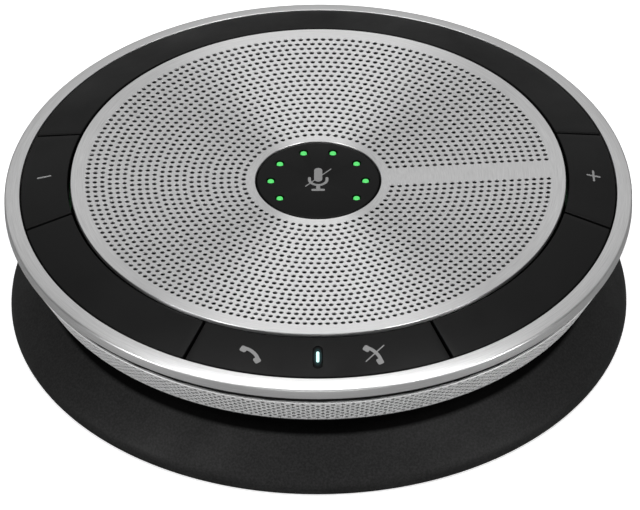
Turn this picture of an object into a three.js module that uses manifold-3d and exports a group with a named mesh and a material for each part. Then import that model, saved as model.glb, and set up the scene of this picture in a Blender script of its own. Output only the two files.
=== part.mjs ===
// A round conference speakerphone: a perforated top grille with a mute button in its middle,
// a ring of keys inside a metal rim, a perforated band round the side, and a flexible skirt
// that hides a channel for the wound cable. Millimetres, +Z up, the table is z = 0, the
// front (call keys) faces -Y, and the axis of the round body is x = y = 0.
import * as THREE from "three";
import { mergeVertices } from "three/addons/utils/BufferGeometryUtils.js";
import Module from "manifold-3d";

const wasm = await Module();
wasm.setup();

// ---- Driving dimensions ----

// Overall
const overallRadius = 60; // outside of the metal rim
const overallHeight = 30; // top of the grille above the table
const fitGap = 0.3; // between pieces that touch
const wideSides = 40; // facets of a turn on the large rings
const middleSides = 24;
const smallSides = 12;
const wedgeStep = 20; // degrees

// Rim and key ring
const rimWidth = 2.9;
const rimHeight = 2.9;
const rimDrop = 2.85; // rim's inner edge below the grille's top
const rimSlope = 0.77; // fall of the rim's top face towards the outside
const rimChamfer = 0.35;
const keyWidth = 8.85;
const keyRise = 2.6; // climb of a key's top face towards the grille
const keyEdge = 1.7; // height of a key's outer wall
const keySplit = 0.4; // gap between neighbouring keys
const keyTravel = 0.4;
const pressGap = 0.1; // left between a switch and its key when the key is down
const rockerTilt = 0.9; // degrees each way
const volumeKeyCentre = 3.25; // degrees in front of or behind the X axis
const volumeKeySpan = 29.8;
const callKeySpan = 53;
const blankLeg = 1.5;

// Grille and its cloth
const grilleGap = 0.65; // open ring between the keys and the grille
const grilleThickness = 0.8;
const clothThickness = 0.3;

// Mute button
const muteRadius = 11.75;
const muteWall = 1.05;
const muteFace = 1.1; // thickness of the button's top
const muteSkirt = 2.4; // height of the button's side
const muteChamfer = 0.3;
const muteStemRadius = 2;
const lightInset = 2.7; // light circle inside the button's edge
const lightRadius = 0.6;
const lightSteps = 10; // places on the light circle
const lightsLeftOut = [7, 8]; // the two places at the front stay empty
const lightRecess = 0.05;
const guideWidth = 2.5; // ring under the lights

// Status window in the call key
const windowWidth = 1.7;
const windowLength = 4.8;

// Side band and lower housing
const bandInset = 1.2; // band's top edge inside the rim
const bandHeight = 6.9;
const bandTaper = 3.8;
const bandThickness = 0.6;
const housingWall = 1.8;
const flangeThickness = 1.3;
const flangeInset = 0.1; // flange's edge inside the band's top edge
const waistInset = 10; // narrowest place of the outside, inside the rim
const waistDrop = 2.4; // waist below the band's seat
const shelfThickness = 1.4;

// Skirt, cable spool and base
const skirtInset = 1; // skirt's lower edge inside the rim
const skirtLift = 0.3; // skirt's lower edge above the table
const skirtWall = 2.4;
const skirtLip = 2.3; // upright part of the skirt's lower edge
const skirtEdge = 0.6; // cut off the skirt's lower outside edge
const skirtFlange = 1.6;
const channelWidth = 11.6; // room for the wound cable
const spoolWall = 1.4;
const lugReach = 5;
const lugWidth = 9;
const lugThickness = 1.2;
const hubWall = 1.4;
const cableNotchWidth = 6;
const cableNotchHeight = 5.2;
const footInset = 4.4; // between the screw heads and the foot ring
const footWidth = 8;
const footHeight = 1.3;
const baseLift = 0.8;
const baseThickness = 2.4;
const basePocket = 1.4; // depth of the pocket round a screw's head

// Cable gland
const cableRadius = 1.6;
const glandNeck = 2.3;
const glandFlange = 3;
const glandFlangeThickness = 1.3;
const glandNose = 2.5; // sticks out of the spool

// Middle frame
const trayFloor = 1.4;
const trayWall = 1.4;
const trayWidth = 6.1; // inside width of the key board's tray
const seatWidth = 2;
const deckThickness = 2;
const deckDrop = 4.7; // top of the deck below the seat's top
const spokeHeight = 2.1;
const spokeWidth = 3;
const spokeCount = 4;
const cupWall = 1.2;
const cupFloor = 1.2;
const cupWireHole = 2.5;
const cupDepth = 6.3; // mute button's cup, from the seat's top
const postRadius = 2.8;
const postInset = 3.4; // a post's axis inside the hub's wall
const postCount = 4;
const firstPost = 45; // degrees

// Boards, switches and microphones
const boardThickness = 1;
const switchSize = 4.5;
const switchBody = 1.2;
const switchPlunger = 0.3;
const plungerRadius = 1.1;
const switchAngle = 20; // degrees of the call key's switches from the front
const pivotWidth = 1.2;
const pivotLength = 4;
const mainBoardClearance = 0.7; // between the board and the posts
const mainBoardGap = 2; // between the board's inner edge and the magnet
const mainBoardThickness = 1.6;
const standoffHeight = 3;
const standoffRadius = 2.4;
const standoffInset = 4; // a standoff's axis inside the board's edge
const standoffCount = 3;
const firstStandoff = 30; // degrees
const chipSize = 10;
const chipHeight = 1.2;
const capacitorRadius = 2.5;
const capacitorHeight = 6;
const capacitorAngles = [330, 350];
const processorAngle = 180;
const connectorSize = [8, 5, 5];
const micRadius = 2;
const micLength = 1.5;
const micBootRadius = 2.7;
const micBootLength = 4;
const soundBore = 0.8;
const micAngles = [30, 150, 270];

// Loudspeaker
const speakerClearance = 3.3; // between the speaker's flange and the posts
const flangeOverlap = 5; // speaker's flange beyond the hole in the frame's deck
const basketFlange = 1.2;
const basketWall = 1;
const basketTaper = 9.3; // fall of the basket's radius from its flange to its foot
const basketFootHeight = 2.4;
const windowCount = 6;
const windowOpening = 8;
const windowHeightShare = 0.6; // of the basket's slope
const basketHole = 2; // outside the voice coil
const rollWidth = 3.5;
const surroundThickness = 0.4;
const surroundFlat = 2;
const rollEnd = 0.24; // radians of the roll's outside that its flat edges take up
const coneThickness = 0.55;
const coneNeck = 7.3;
const coneRim = 1; // flat edge that the surround is glued to
const coilInner = 6.4;
const coilOuter = 6.9;
const poleRadius = 6;
const poleVent = 2;
const gapRadius = 7.2; // hole in the motor's top plate
const magnetInner = 8.5;
const magnetInset = 1; // magnet's edge inside the basket's foot
const magnetHeight = 3.3;
const plateInset = 1; // motor plates' edge inside the magnet's
const backPlate = 2;
const topPlate = 1.8;
const spiderWaves = 2;
const spiderWaveHeight = 0.5;
const spiderThickness = 0.35;
const spiderLift = 1; // above the basket's foot
const coneLift = 1.4; // cone's neck above the spider
const coilReach = 1; // coil's upper end above the cone's neck
const coilRecess = 0.4; // coil's lower end above the top plate's underside
const dustCapOverlap = 1; // dust cap's edge outside the cone's neck
const dustCapRise = 2;
const dustCapThickness = 0.4;

// Screws: head radius, head height, shank radius, shank length
const baseScrew = { head: 2.1, headHeight: 0.9, shank: 1, length: 10 };
const boardScrew = { head: 1.7, headHeight: 1, shank: 0.8, length: 4 };
const speakerScrew = { head: 1.5, headHeight: 0.9, shank: 0.8, length: 3.6 };
const driveSlot = 0.5;
const driveLength = 1.3; // of the head's radius

// ---- Derived radii, from the rim inwards ----

const rimInner = overallRadius - rimWidth;
const keyOuter = rimInner - fitGap;
const keyInner = keyOuter - keyWidth;
const keyMiddle = (keyOuter + keyInner) / 2;
const grilleRadius = keyInner - grilleGap;
const grilleHole = muteRadius + fitGap;
const seatOuter = grilleRadius - fitGap;
const seatInner = seatOuter - seatWidth;
const trayOuter = seatOuter + trayWidth + trayWall;
const bandTopRadius = overallRadius - bandInset;
const bandBottomRadius = bandTopRadius - bandTaper;
const housingTopRadius = bandTopRadius - bandThickness - fitGap;
const housingSeatRadius = bandBottomRadius - bandThickness - fitGap;
const flangeRadius = bandTopRadius - flangeInset;
const waistRadius = overallRadius - waistInset;
const skirtRadius = overallRadius - skirtInset;
const spoolOuter = skirtRadius - skirtWall - channelWidth;
const spoolInner = spoolOuter - spoolWall;
const hubOuter = spoolInner - fitGap;
const hubInner = hubOuter - hubWall;
const postCircle = hubInner - postInset;
const footOuter = postCircle - baseScrew.head - footInset;
const footInner = footOuter - footWidth;
const basketFlangeRadius = postCircle - postRadius - speakerClearance;
const speakerOpening = basketFlangeRadius - flangeOverlap;
const rollOuter = speakerOpening - 2 * fitGap;
const rollInner = rollOuter - rollWidth;
const coneRadius = rollInner - fitGap;
const basketFoot = rollOuter - basketTaper;
const magnetOuter = basketFoot - magnetInset;
const plateRadius = magnetOuter - plateInset;
const speakerScrewCircle = basketFlangeRadius - speakerScrew.head - fitGap;
const mainBoardOuter = postCircle - postRadius - mainBoardClearance;
const mainBoardInner = magnetOuter + mainBoardGap;
const standoffCircle = mainBoardOuter - standoffInset;
const lightCircleRadius = muteRadius - lightInset;

// ---- Derived heights ----

// Down from the grille
const clothBase = overallHeight - grilleThickness - fitGap - clothThickness;
const seatTop = clothBase - fitGap;
const rimTop = overallHeight - rimDrop;
const rimBase = rimTop - rimHeight;
const keyBase = rimTop - keyEdge;
const switchBase = keyBase - keyTravel - pressGap - switchPlunger - switchBody;
const keyBoardBase = switchBase - fitGap - boardThickness;
const trayTop = keyBoardBase - fitGap;
const trayBase = trayTop - trayFloor;
const flangeTop = rimBase - fitGap;
const bandTop = flangeTop - flangeThickness - fitGap;
const bandBase = bandTop - bandHeight;
const bandSeat = bandBase - fitGap;
const shelfBase = bandSeat - waistDrop;
const shelfTop = shelfBase + shelfThickness;
const skirtTop = shelfBase - fitGap;
const spoolTop = skirtTop - skirtFlange - fitGap;
const deckBase = seatTop - deckDrop;
const spokeBase = seatTop - spokeHeight;

// Up from the table
const baseTop = baseLift + baseThickness;
const hubBase = baseTop + fitGap;
const mainBoardBase = baseTop + standoffHeight + fitGap;
const yokeBase = baseTop + 2 * fitGap;
const magnetBase = yokeBase + backPlate + fitGap;
const topPlateBase = magnetBase + magnetHeight + fitGap;
const basketBase = topPlateBase + topPlate + fitGap;
const glandHeight = (hubBase + spoolTop) / 2;
const micHeight = shelfTop + fitGap + micBootRadius;

// Mute button, down from its top face
const muteUnderside = overallHeight - muteFace;
const muteBase = overallHeight - muteSkirt;
const cupInner = muteRadius + fitGap;
const cupRadius = cupInner + cupWall;
const guideTop = muteUnderside - fitGap;
const guideBase = guideTop - lightRadius * 2;
const cupTop = seatTop;
const cupBase = cupTop - cupDepth;
const muteBoardBase = cupBase + cupFloor + fitGap;
const muteSwitchBase = muteBoardBase + boardThickness + fitGap;
const muteStemBase = muteSwitchBase + switchBody + switchPlunger + keyTravel + pressGap;

// Loudspeaker, down from the deck
const surroundBase = deckBase - fitGap - surroundThickness;
const basketTop = surroundBase - fitGap;
const spiderBase = basketBase + basketWall + spiderLift;
const coneNeckBase = spiderBase + coneLift;
const coilTop = coneNeckBase + coilReach;

// ---- Geometry helpers ----

const degrees = Math.PI / 180;
const mergeDistance = 1e-4;
const reach = 200; // longer than the object, for cutting tools

function toSolid(geometry) {
  const bare = geometry.clone();
  bare.deleteAttribute("normal");
  bare.deleteAttribute("uv");
  const merged = mergeVertices(bare, mergeDistance);
  const mesh = new wasm.Mesh({
    numProp: 3,
    vertProperties: merged.attributes.position.array,
    triVerts: new Uint32Array(merged.index.array),
  });
  return new wasm.Manifold(mesh);
}

function toGeometry(solid) {
  const mesh = solid.getMesh();
  const geometry = new THREE.BufferGeometry();
  geometry.setAttribute("position", new THREE.BufferAttribute(mesh.vertProperties, 3));
  geometry.setIndex(new THREE.BufferAttribute(mesh.triVerts, 1));
  const faceted = geometry.toNonIndexed();
  faceted.computeVertexNormals();
  return faceted;
}

function cut(body, ...tools) {
  const left = tools.reduce((solid, tool) => solid.subtract(toSolid(tool)), toSolid(body));
  return toGeometry(left);
}

function join(...bodies) {
  const whole = bodies.slice(1).reduce((solid, body) => solid.add(toSolid(body)), toSolid(bodies[0]));
  return toGeometry(whole);
}

function overlapOf(first, second) {
  return toGeometry(toSolid(first).intersect(toSolid(second)));
}

// A turned piece. The outline runs anticlockwise with the radius to the right and z up; it
// either starts and ends on the axis or is closed on itself.
function turned(outline, sides) {
  const points = outline.map(([radius, z]) => new THREE.Vector2(radius, z));
  if (outline[0][0] > 0) points.push(points[0].clone());
  const geometry = new THREE.LatheGeometry(points, sides);
  geometry.rotateX(Math.PI / 2);
  return geometry;
}

function turnedRing(inner, outer, height, sides) {
  return turned([[inner, 0], [outer, 0], [outer, height], [inner, height]], sides);
}

// An upright cylinder that stands on z = 0.
function rod(radius, height, sides = smallSides) {
  const geometry = new THREE.CylinderGeometry(radius, radius, height, sides);
  geometry.rotateX(Math.PI / 2);
  geometry.translate(0, 0, height / 2);
  return geometry;
}

// A box that stands on z = 0, centred in X and Y.
function block(length, width, height) {
  const geometry = new THREE.BoxGeometry(length, width, height);
  geometry.translate(0, 0, height / 2);
  return geometry;
}

function moved(geometry, x, y, z) {
  return geometry.clone().translate(x, y, z);
}

// A copy moved out along X and then turned about Z, to an angle in degrees.
function atAngle(geometry, angle, radius, z) {
  return geometry.clone().translate(radius, 0, z).rotateZ(angle * degrees);
}

// The part of the plane between two angles in degrees, as an upright wedge.
function wedge(from, to) {
  const steps = Math.ceil((to - from) / wedgeStep);
  const outline = new THREE.Shape();
  outline.moveTo(0, 0);
  for (let i = 0; i <= steps; i += 1) {
    const angle = (from + ((to - from) * i) / steps) * degrees;
    outline.lineTo(reach * Math.cos(angle), reach * Math.sin(angle));
  }
  const geometry = new THREE.ExtrudeGeometry(outline, { depth: 2 * reach, bevelEnabled: false });
  geometry.translate(0, 0, -reach);
  return geometry;
}

function evenAngles(count, first) {
  return Array.from({ length: count }, (_, i) => first + (360 / count) * i);
}

// ---- Materials ----

function material(color, roughness, metalness) {
  return new THREE.MeshStandardMaterial({ color, roughness, metalness });
}

const brushedMetal = material(0xb9b9b7, 0.34, 1);
const rimMetal = material(0xc4c4c2, 0.28, 1);
const keyPlastic = material(0x1d1d1e, 0.42, 0);
const buttonPlastic = material(0x151516, 0.38, 0);
const housingPlastic = material(0x131314, 0.55, 0);
const skirtRubber = material(0x1b1b1c, 0.62, 0);
const footRubber = material(0x101010, 0.85, 0);
const greenLens = material(0x35d46a, 0.3, 0);
const windowPlastic = material(0x0f2430, 0.2, 0);
const clothFabric = material(0x0d0d0d, 0.95, 0);
const screwSteel = material(0x8d8d90, 0.35, 1);
const circuitBoard = material(0x1d4a2c, 0.5, 0);
const chipPlastic = material(0x18181a, 0.5, 0);
const speakerSteel = material(0x77787b, 0.4, 1);
const magnetFerrite = material(0x2a2a2c, 0.7, 0);
const conePaper = material(0x161616, 0.8, 0);
const copperWire = material(0xb06a3a, 0.4, 1);
const spiderFabric = material(0xc9a65a, 0.9, 0);

// ---- Assembly ----

const speakerphone = new THREE.Group();

function place(name, geometry, look, z = 0, parent = speakerphone) {
  const mesh = new THREE.Mesh(geometry, look);
  mesh.name = name;
  mesh.position.z = z;
  parent.add(mesh);
  return mesh;
}

// A group whose own X axis points outwards at an angle, for pieces that lie round the axis.
function spoke(angle, radius, z) {
  const turn = new THREE.Group();
  turn.rotation.z = angle * degrees;
  const arm = new THREE.Group();
  arm.position.set(radius, 0, z);
  turn.add(arm);
  speakerphone.add(turn);
  return arm;
}

function screw(size) {
  const head = rod(size.head, size.headHeight);
  const shank = moved(rod(size.shank, size.length), 0, 0, size.headHeight / 2);
  const slotDepth = size.headHeight / 3;
  const longSlot = moved(block(size.head * driveLength, driveSlot, slotDepth * 2), 0, 0, -slotDepth);
  const crossSlot = longSlot.clone().rotateZ(Math.PI / 2);
  return cut(join(head, shank), longSlot, crossSlot);
}

// ---- Base, spool and skirt ----

const postAngles = evenAngles(postCount, firstPost);
const standoffAngles = evenAngles(standoffCount, firstStandoff);
const cableAngle = 90; // the cable leaves at the back

function footRing() {
  return turnedRing(footInner, footOuter, footHeight, wideSides);
}

function basePlate() {
  const grooveDepth = footHeight + fitGap - baseLift;
  const grooveInner = footInner - fitGap;
  const grooveOuter = footOuter + fitGap;
  const plate = turned(
    [
      [0, 0],
      [grooveInner, 0],
      [grooveInner, grooveDepth],
      [grooveOuter, grooveDepth],
      [grooveOuter, 0],
      [spoolOuter, 0],
      [spoolOuter, baseThickness],
      [0, baseThickness],
    ],
    wideSides,
  );
  const standoff = rod(standoffRadius, standoffHeight + baseThickness / 2);
  const standoffs = standoffAngles.map((angle) =>
    atAngle(standoff, angle, standoffCircle, baseThickness / 2),
  );
  const pocket = moved(rod(baseScrew.head + fitGap, reach), 0, 0, basePocket - reach);
  const throughHole = rod(baseScrew.shank + fitGap, 2 * baseThickness);
  const boardHole = rod(boardScrew.shank + fitGap, reach);
  const boardHoleFloor = baseThickness - boardScrew.length / 2 + standoffHeight / 2;
  const holes = postAngles.flatMap((angle) => [
    atAngle(pocket, angle, postCircle, 0),
    atAngle(throughHole, angle, postCircle, 0),
  ]);
  const boardHoles = standoffAngles.map((angle) =>
    atAngle(boardHole, angle, standoffCircle, boardHoleFloor),
  );
  return cut(join(plate, ...standoffs), ...holes, ...boardHoles);
}

function lowerHousing() {
  const innerTop = housingTopRadius - housingWall;
  const innerSeat = housingSeatRadius - housingWall;
  const shell = turned(
    [
      [hubInner, hubBase],
      [hubOuter, hubBase],
      [hubOuter, shelfBase],
      [waistRadius, shelfBase],
      [bandBottomRadius, bandSeat],
      [housingSeatRadius, bandSeat],
      [housingTopRadius, bandTop],
      [innerTop, bandTop],
      [innerSeat, bandBase],
      [innerSeat - shelfThickness, shelfTop],
      [hubInner, shelfTop],
    ],
    wideSides,
  );
  const soundHole = rod(soundBore, housingTopRadius).rotateY(Math.PI / 2);
  const soundHoles = micAngles.map((angle) => atAngle(soundHole, angle, hubOuter, micHeight));
  return cut(shell, glandHole(), ...soundHoles);
}

// Round hole through the hub's and the spool's wall at the back.
function glandHole() {
  const bore = rod(glandNeck + fitGap, hubOuter, middleSides).rotateY(Math.PI / 2);
  return atAngle(bore, cableAngle, hubInner / 2 + fitGap, glandHeight);
}

function cableSpool() {
  const sleeve = moved(turnedRing(spoolInner, spoolOuter, spoolTop - hubBase, wideSides), 0, 0, hubBase);
  const lugLength = lugReach + spoolWall / 2;
  const lug = block(lugLength, lugWidth, lugThickness);
  const lugCentre = spoolOuter + lugReach - lugLength / 2;
  const lugs = postAngles.map((angle) => atAngle(lug, angle, lugCentre, hubBase));
  return cut(join(sleeve, ...lugs), glandHole());
}

function skirt() {
  const flangeBase = skirtTop - skirtFlange;
  const innerLip = skirtRadius - skirtWall;
  const body = turned(
    [
      [spoolInner, flangeBase],
      [waistRadius - skirtWall, flangeBase],
      [innerLip, skirtLift + skirtLip],
      [innerLip, skirtLift],
      [skirtRadius - skirtEdge, skirtLift],
      [skirtRadius, skirtLift + skirtEdge],
      [skirtRadius, skirtLift + skirtLip],
      [waistRadius, skirtTop],
      [spoolInner, skirtTop],
    ],
    wideSides,
  );
  const archRadius = cableNotchWidth / 2;
  const arch = rod(archRadius, skirtRadius, middleSides).rotateY(Math.PI / 2);
  const straight = block(skirtRadius, cableNotchWidth, cableNotchHeight - archRadius);
  const notch = join(
    atAngle(arch, cableAngle, spoolOuter + lugReach, cableNotchHeight - archRadius),
    atAngle(moved(straight, skirtRadius / 2, 0, 0), cableAngle, spoolOuter + lugReach, 0),
  );
  return cut(body, notch);
}

function cableGland() {
  const outerEnd = spoolOuter + glandNose - hubInner;
  const grommet = turned(
    [
      [cableRadius, -glandFlangeThickness - fitGap],
      [glandFlange, -glandFlangeThickness - fitGap],
      [glandFlange, -fitGap],
      [glandNeck, -fitGap],
      [glandNeck, outerEnd - glandFlangeThickness],
      [cableRadius + fitGap, outerEnd],
      [cableRadius, outerEnd],
    ],
    middleSides,
  );
  return grommet.rotateY(Math.PI / 2);
}

// ---- Rim, band, frame and keys ----

function rimRing() {
  return turned(
    [
      [rimInner, 0],
      [overallRadius - rimChamfer, 0],
      [overallRadius, rimChamfer],
      [overallRadius, rimHeight - rimSlope - rimChamfer],
      [overallRadius - rimChamfer, rimHeight - rimSlope],
      [rimInner, rimHeight],
    ],
    wideSides,
  );
}

function sideBand() {
  return turned(
    [
      [bandBottomRadius - bandThickness, 0],
      [bandBottomRadius, 0],
      [bandTopRadius, bandHeight],
      [bandTopRadius - bandThickness, bandHeight],
    ],
    wideSides,
  );
}

function middleFrame() {
  const ring = turned(
    [
      [speakerOpening, deckBase],
      [seatInner, deckBase],
      [seatInner, trayBase],
      [trayOuter, trayBase],
      [trayOuter, flangeTop - flangeThickness],
      [flangeRadius, flangeTop - flangeThickness],
      [flangeRadius, flangeTop],
      [trayOuter - trayWall, flangeTop],
      [trayOuter - trayWall, trayTop],
      [seatOuter, trayTop],
      [seatOuter, seatTop],
      [seatInner, seatTop],
      [seatInner, deckBase + deckThickness],
      [speakerOpening, deckBase + deckThickness],
    ],
    wideSides,
  );
  const cup = turned(
    [
      [cupWireHole, cupBase],
      [cupRadius, cupBase],
      [cupRadius, cupTop],
      [cupInner, cupTop],
      [cupInner, cupBase + cupFloor],
      [cupWireHole, cupBase + cupFloor],
    ],
    middleSides,
  );
  const spokeStart = cupRadius - cupWall / 2;
  const spokeEnd = seatInner + seatWidth / 2;
  const bar = block(spokeEnd - spokeStart, spokeWidth, spokeHeight);
  const bars = evenAngles(spokeCount, 0).map((angle) =>
    atAngle(bar, angle, (spokeStart + spokeEnd) / 2, spokeBase),
  );
  const post = rod(postRadius, deckBase + deckThickness / 2 - hubBase);
  const posts = postAngles.map((angle) => atAngle(post, angle, postCircle, hubBase));
  const postHole = rod(baseScrew.shank + fitGap, baseScrew.length + fitGap);
  const postHoles = postAngles.map((angle) => atAngle(postHole, angle, postCircle, hubBase - fitGap));
  const deckHole = rod(speakerScrew.shank + fitGap, 2 * deckThickness);
  const deckHoles = postAngles.map((angle) =>
    atAngle(deckHole, angle, speakerScrewCircle, deckBase - fitGap),
  );
  return cut(join(ring, cup, ...bars, ...posts), ...postHoles, ...deckHoles);
}

const keySection = [
  [keyInner, keyBase],
  [keyOuter, keyBase],
  [keyOuter, rimTop],
  [keyInner, rimTop + keyRise],
];

const blankSection = [
  [keyInner, switchBase],
  [keyInner + blankLeg, switchBase],
  [keyInner + blankLeg, keyBase],
  [keyOuter, keyBase],
  [keyOuter, rimTop],
  [keyInner, rimTop + keyRise],
];

// A piece of the key ring between two angles, short of its neighbours by half the split.
function keySegment(section, from, to) {
  const margin = keySplit / 2 / keyMiddle / degrees;
  return overlapOf(turned(section, wideSides), wedge(from + margin, to - margin));
}

const windowRadius = keyMiddle;

function windowHole(margin) {
  return moved(
    block(windowWidth + 2 * margin, windowLength + 2 * margin, reach),
    0,
    -windowRadius,
    keyBase - margin,
  );
}

function callRocker() {
  const half = callKeySpan / 2;
  return cut(keySegment(keySection, 270 - half, 270 + half), windowHole(fitGap));
}

function statusWindow() {
  return overlapOf(turned(keySection, wideSides), windowHole(0));
}

// ---- Grille, cloth and mute button ----

function topGrille() {
  return turnedRing(grilleHole, grilleRadius, grilleThickness, wideSides);
}

function grilleCloth() {
  return turnedRing(cupRadius + fitGap, seatOuter - fitGap, clothThickness, wideSides);
}

const lightAngles = evenAngles(lightSteps, 0).filter((_, step) => !lightsLeftOut.includes(step));

function muteButton() {
  const cap = turned(
    [
      [0, muteStemBase],
      [muteStemRadius, muteStemBase],
      [muteStemRadius, muteUnderside],
      [muteRadius - muteWall, muteUnderside],
      [muteRadius - muteWall, muteBase],
      [muteRadius, muteBase],
      [muteRadius, overallHeight - muteChamfer],
      [muteRadius - muteChamfer, overallHeight],
      [0, overallHeight],
    ],
    middleSides,
  );
  const hole = rod(lightRadius + fitGap, 2 * muteFace);
  const holes = lightAngles.map((angle) => atAngle(hole, angle, lightCircleRadius, muteUnderside - fitGap));
  return cut(cap, ...holes);
}

function muteLightGuide() {
  const half = guideWidth / 2;
  const ring = moved(
    turnedRing(lightCircleRadius - half, lightCircleRadius + half, guideTop - guideBase, middleSides),
    0,
    0,
    guideBase,
  );
  const peg = rod(lightRadius, overallHeight - lightRecess - guideBase - lightRadius);
  const pegs = lightAngles.map((angle) => atAngle(peg, angle, lightCircleRadius, guideBase + lightRadius));
  return join(ring, ...pegs);
}

// ---- Boards, switches, microphones ----

function pushSwitch() {
  const plunger = moved(rod(plungerRadius, switchPlunger + switchBody / 2), 0, 0, switchBody / 2);
  return join(block(switchSize, switchSize, switchBody), plunger);
}

function rockerPivot() {
  const height = keyBase - pressGap - fitGap - switchBase;
  const ridge = rod(pivotWidth / 2, pivotLength).rotateY(Math.PI / 2);
  const foot = block(pivotLength, pivotWidth, height - pivotWidth / 2);
  return join(foot, moved(ridge, -pivotLength / 2, 0, height - pivotWidth / 2));
}

function micBoot() {
  const pocket = micLength + fitGap;
  const boot = turned(
    [
      [soundBore, pocket],
      [micRadius + fitGap, pocket],
      [micRadius + fitGap, 0],
      [micBootRadius, 0],
      [micBootRadius, micBootLength],
      [soundBore, micBootLength],
    ],
    smallSides,
  );
  return boot.rotateY(Math.PI / 2);
}

function microphone() {
  return rod(micRadius, micLength).rotateY(Math.PI / 2);
}

function mainBoard() {
  const board = turnedRing(mainBoardInner, mainBoardOuter, mainBoardThickness, middleSides);
  const hole = rod(boardScrew.shank + fitGap, reach);
  const holes = standoffAngles.map((angle) => atAngle(hole, angle, standoffCircle, -reach / 2));
  return cut(board, ...holes);
}

// ---- Loudspeaker ----

function speakerBasket() {
  const footTop = basketBase + basketFootHeight;
  const flangeBase = basketTop - basketFlange;
  const body = turned(
    [
      [coilOuter + basketHole, basketBase],
      [basketFoot + basketWall, basketBase],
      [basketFoot + basketWall, footTop],
      [rollOuter, flangeBase],
      [basketFlangeRadius, flangeBase],
      [basketFlangeRadius, basketTop],
      [rollOuter - basketWall, basketTop],
      [rollOuter - basketWall, flangeBase + basketWall / 2],
      [basketFoot, footTop + basketWall / 2],
      [basketFoot, basketBase + basketWall],
      [coilOuter + basketHole, basketBase + basketWall],
    ],
    middleSides,
  );
  const opening = block(rollOuter, windowOpening, (flangeBase - footTop) * windowHeightShare);
  const openingBase = footTop + ((flangeBase - footTop) * (1 - windowHeightShare)) / 2;
  const openings = evenAngles(windowCount, 0).map((angle) =>
    atAngle(opening, angle, basketFoot / 2 + rollOuter / 2, openingBase),
  );
  const screwHole = rod(speakerScrew.shank + fitGap, 3 * basketFlange);
  const screwHoles = postAngles.map((angle) =>
    atAngle(screwHole, angle, speakerScrewCircle, flangeBase - fitGap),
  );
  return cut(body, ...openings, ...screwHoles);
}

function speakerSurround() {
  const steps = 4;
  const centre = (rollInner + rollOuter) / 2;
  const bulge = rollWidth / 2;
  const arc = (radius, from, to) =>
    Array.from({ length: steps + 1 }, (_, i) => {
      const angle = from + ((to - from) * i) / steps;
      return [centre + radius * Math.cos(angle), radius * Math.sin(angle)];
    });
  const flat = [
    [rollOuter + surroundFlat, 0],
    [rollOuter + surroundFlat, surroundThickness],
  ];
  const inner = [
    [rollInner - surroundFlat / 2, surroundThickness],
    [rollInner - surroundFlat / 2, 0],
  ];
  const hollow = arc(bulge - surroundThickness, Math.PI, 0);
  const outside = arc(bulge, rollEnd, Math.PI - rollEnd);
  return turned([...hollow, ...flat, ...outside, ...inner], middleSides);
}

function speakerCone() {
  const edgeTop = surroundBase - fitGap;
  return turned(
    [
      [coneNeck, coneNeckBase],
      [coneRadius, edgeTop - coneThickness],
      [coneRadius, edgeTop],
      [coneRadius - coneRim, edgeTop],
      [coneNeck, coneNeckBase + coneThickness],
    ],
    middleSides,
  );
}

function dustCap() {
  const radius = coneNeck + dustCapOverlap;
  const steps = 3;
  const neckTop = coneNeckBase + coneThickness;
  const slope = (surroundBase - fitGap - neckTop) / (coneRadius - coneRim - coneNeck);
  const base = neckTop + slope * dustCapOverlap + fitGap + dustCapThickness;
  const dome = (drop) =>
    Array.from({ length: steps + 1 }, (_, i) => {
      const share = i / steps;
      return [radius * (1 - share), base + dustCapRise * (1 - (1 - share) ** 2) - drop];
    });
  const outside = dome(0);
  const inside = dome(dustCapThickness).reverse();
  return turned([...inside, ...outside], middleSides);
}

function voiceCoil() {
  const length = coilTop - topPlateBase - coilRecess;
  return moved(turnedRing(coilInner, coilOuter, length, middleSides), 0, 0, coilTop - length);
}

function spider() {
  const inner = coilOuter + fitGap;
  const outer = basketFoot - fitGap;
  const steps = spiderWaves * 4;
  const wave = (lift) =>
    Array.from({ length: steps + 1 }, (_, i) => {
      const share = i / steps;
      const rise = spiderWaveHeight * Math.sin(share * spiderWaves * 2 * Math.PI);
      return [inner + (outer - inner) * share, rise + lift];
    });
  return turned([...wave(0), ...wave(spiderThickness).reverse()], middleSides);
}

function yoke() {
  const poleTop = topPlateBase + topPlate;
  return turned(
    [
      [poleVent, yokeBase],
      [plateRadius, yokeBase],
      [plateRadius, yokeBase + backPlate],
      [poleRadius, yokeBase + backPlate],
      [poleRadius, poleTop],
      [poleVent, poleTop],
    ],
    middleSides,
  );
}

// ---- Everything in its place ----

place("foot_ring", footRing(), footRubber);
place("base_plate", basePlate(), housingPlastic, baseLift);
place("lower_housing", lowerHousing(), housingPlastic);
place("cable_spool", cableSpool(), housingPlastic);
place("skirt", skirt(), skirtRubber);
place("side_band", sideBand(), brushedMetal, bandBase);
place("rim_ring", rimRing(), rimMetal, rimBase);
place("middle_frame", middleFrame(), housingPlastic);
place("cable_gland", cableGland(), skirtRubber, 0, spoke(cableAngle, hubInner, glandHeight));

const volumeHalf = volumeKeySpan / 2;
const callHalf = callKeySpan / 2;
const rightKey = [volumeKeyCentre - volumeHalf, volumeKeyCentre + volumeHalf];
const leftKey = [180 - rightKey[1], 180 - rightKey[0]];
place("volume_up_key", keySegment(keySection, ...rightKey), keyPlastic);
place("volume_down_key", keySegment(keySection, ...leftKey), keyPlastic);
place("call_rocker", callRocker(), keyPlastic);
place("status_window", statusWindow(), windowPlastic);
place("back_cover_arc", keySegment(blankSection, rightKey[1], leftKey[0]), keyPlastic);
place("left_cover_arc", keySegment(blankSection, leftKey[1], 270 - callHalf), keyPlastic);
place("right_cover_arc", keySegment(blankSection, 270 + callHalf, 360 + rightKey[0]), keyPlastic);

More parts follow.
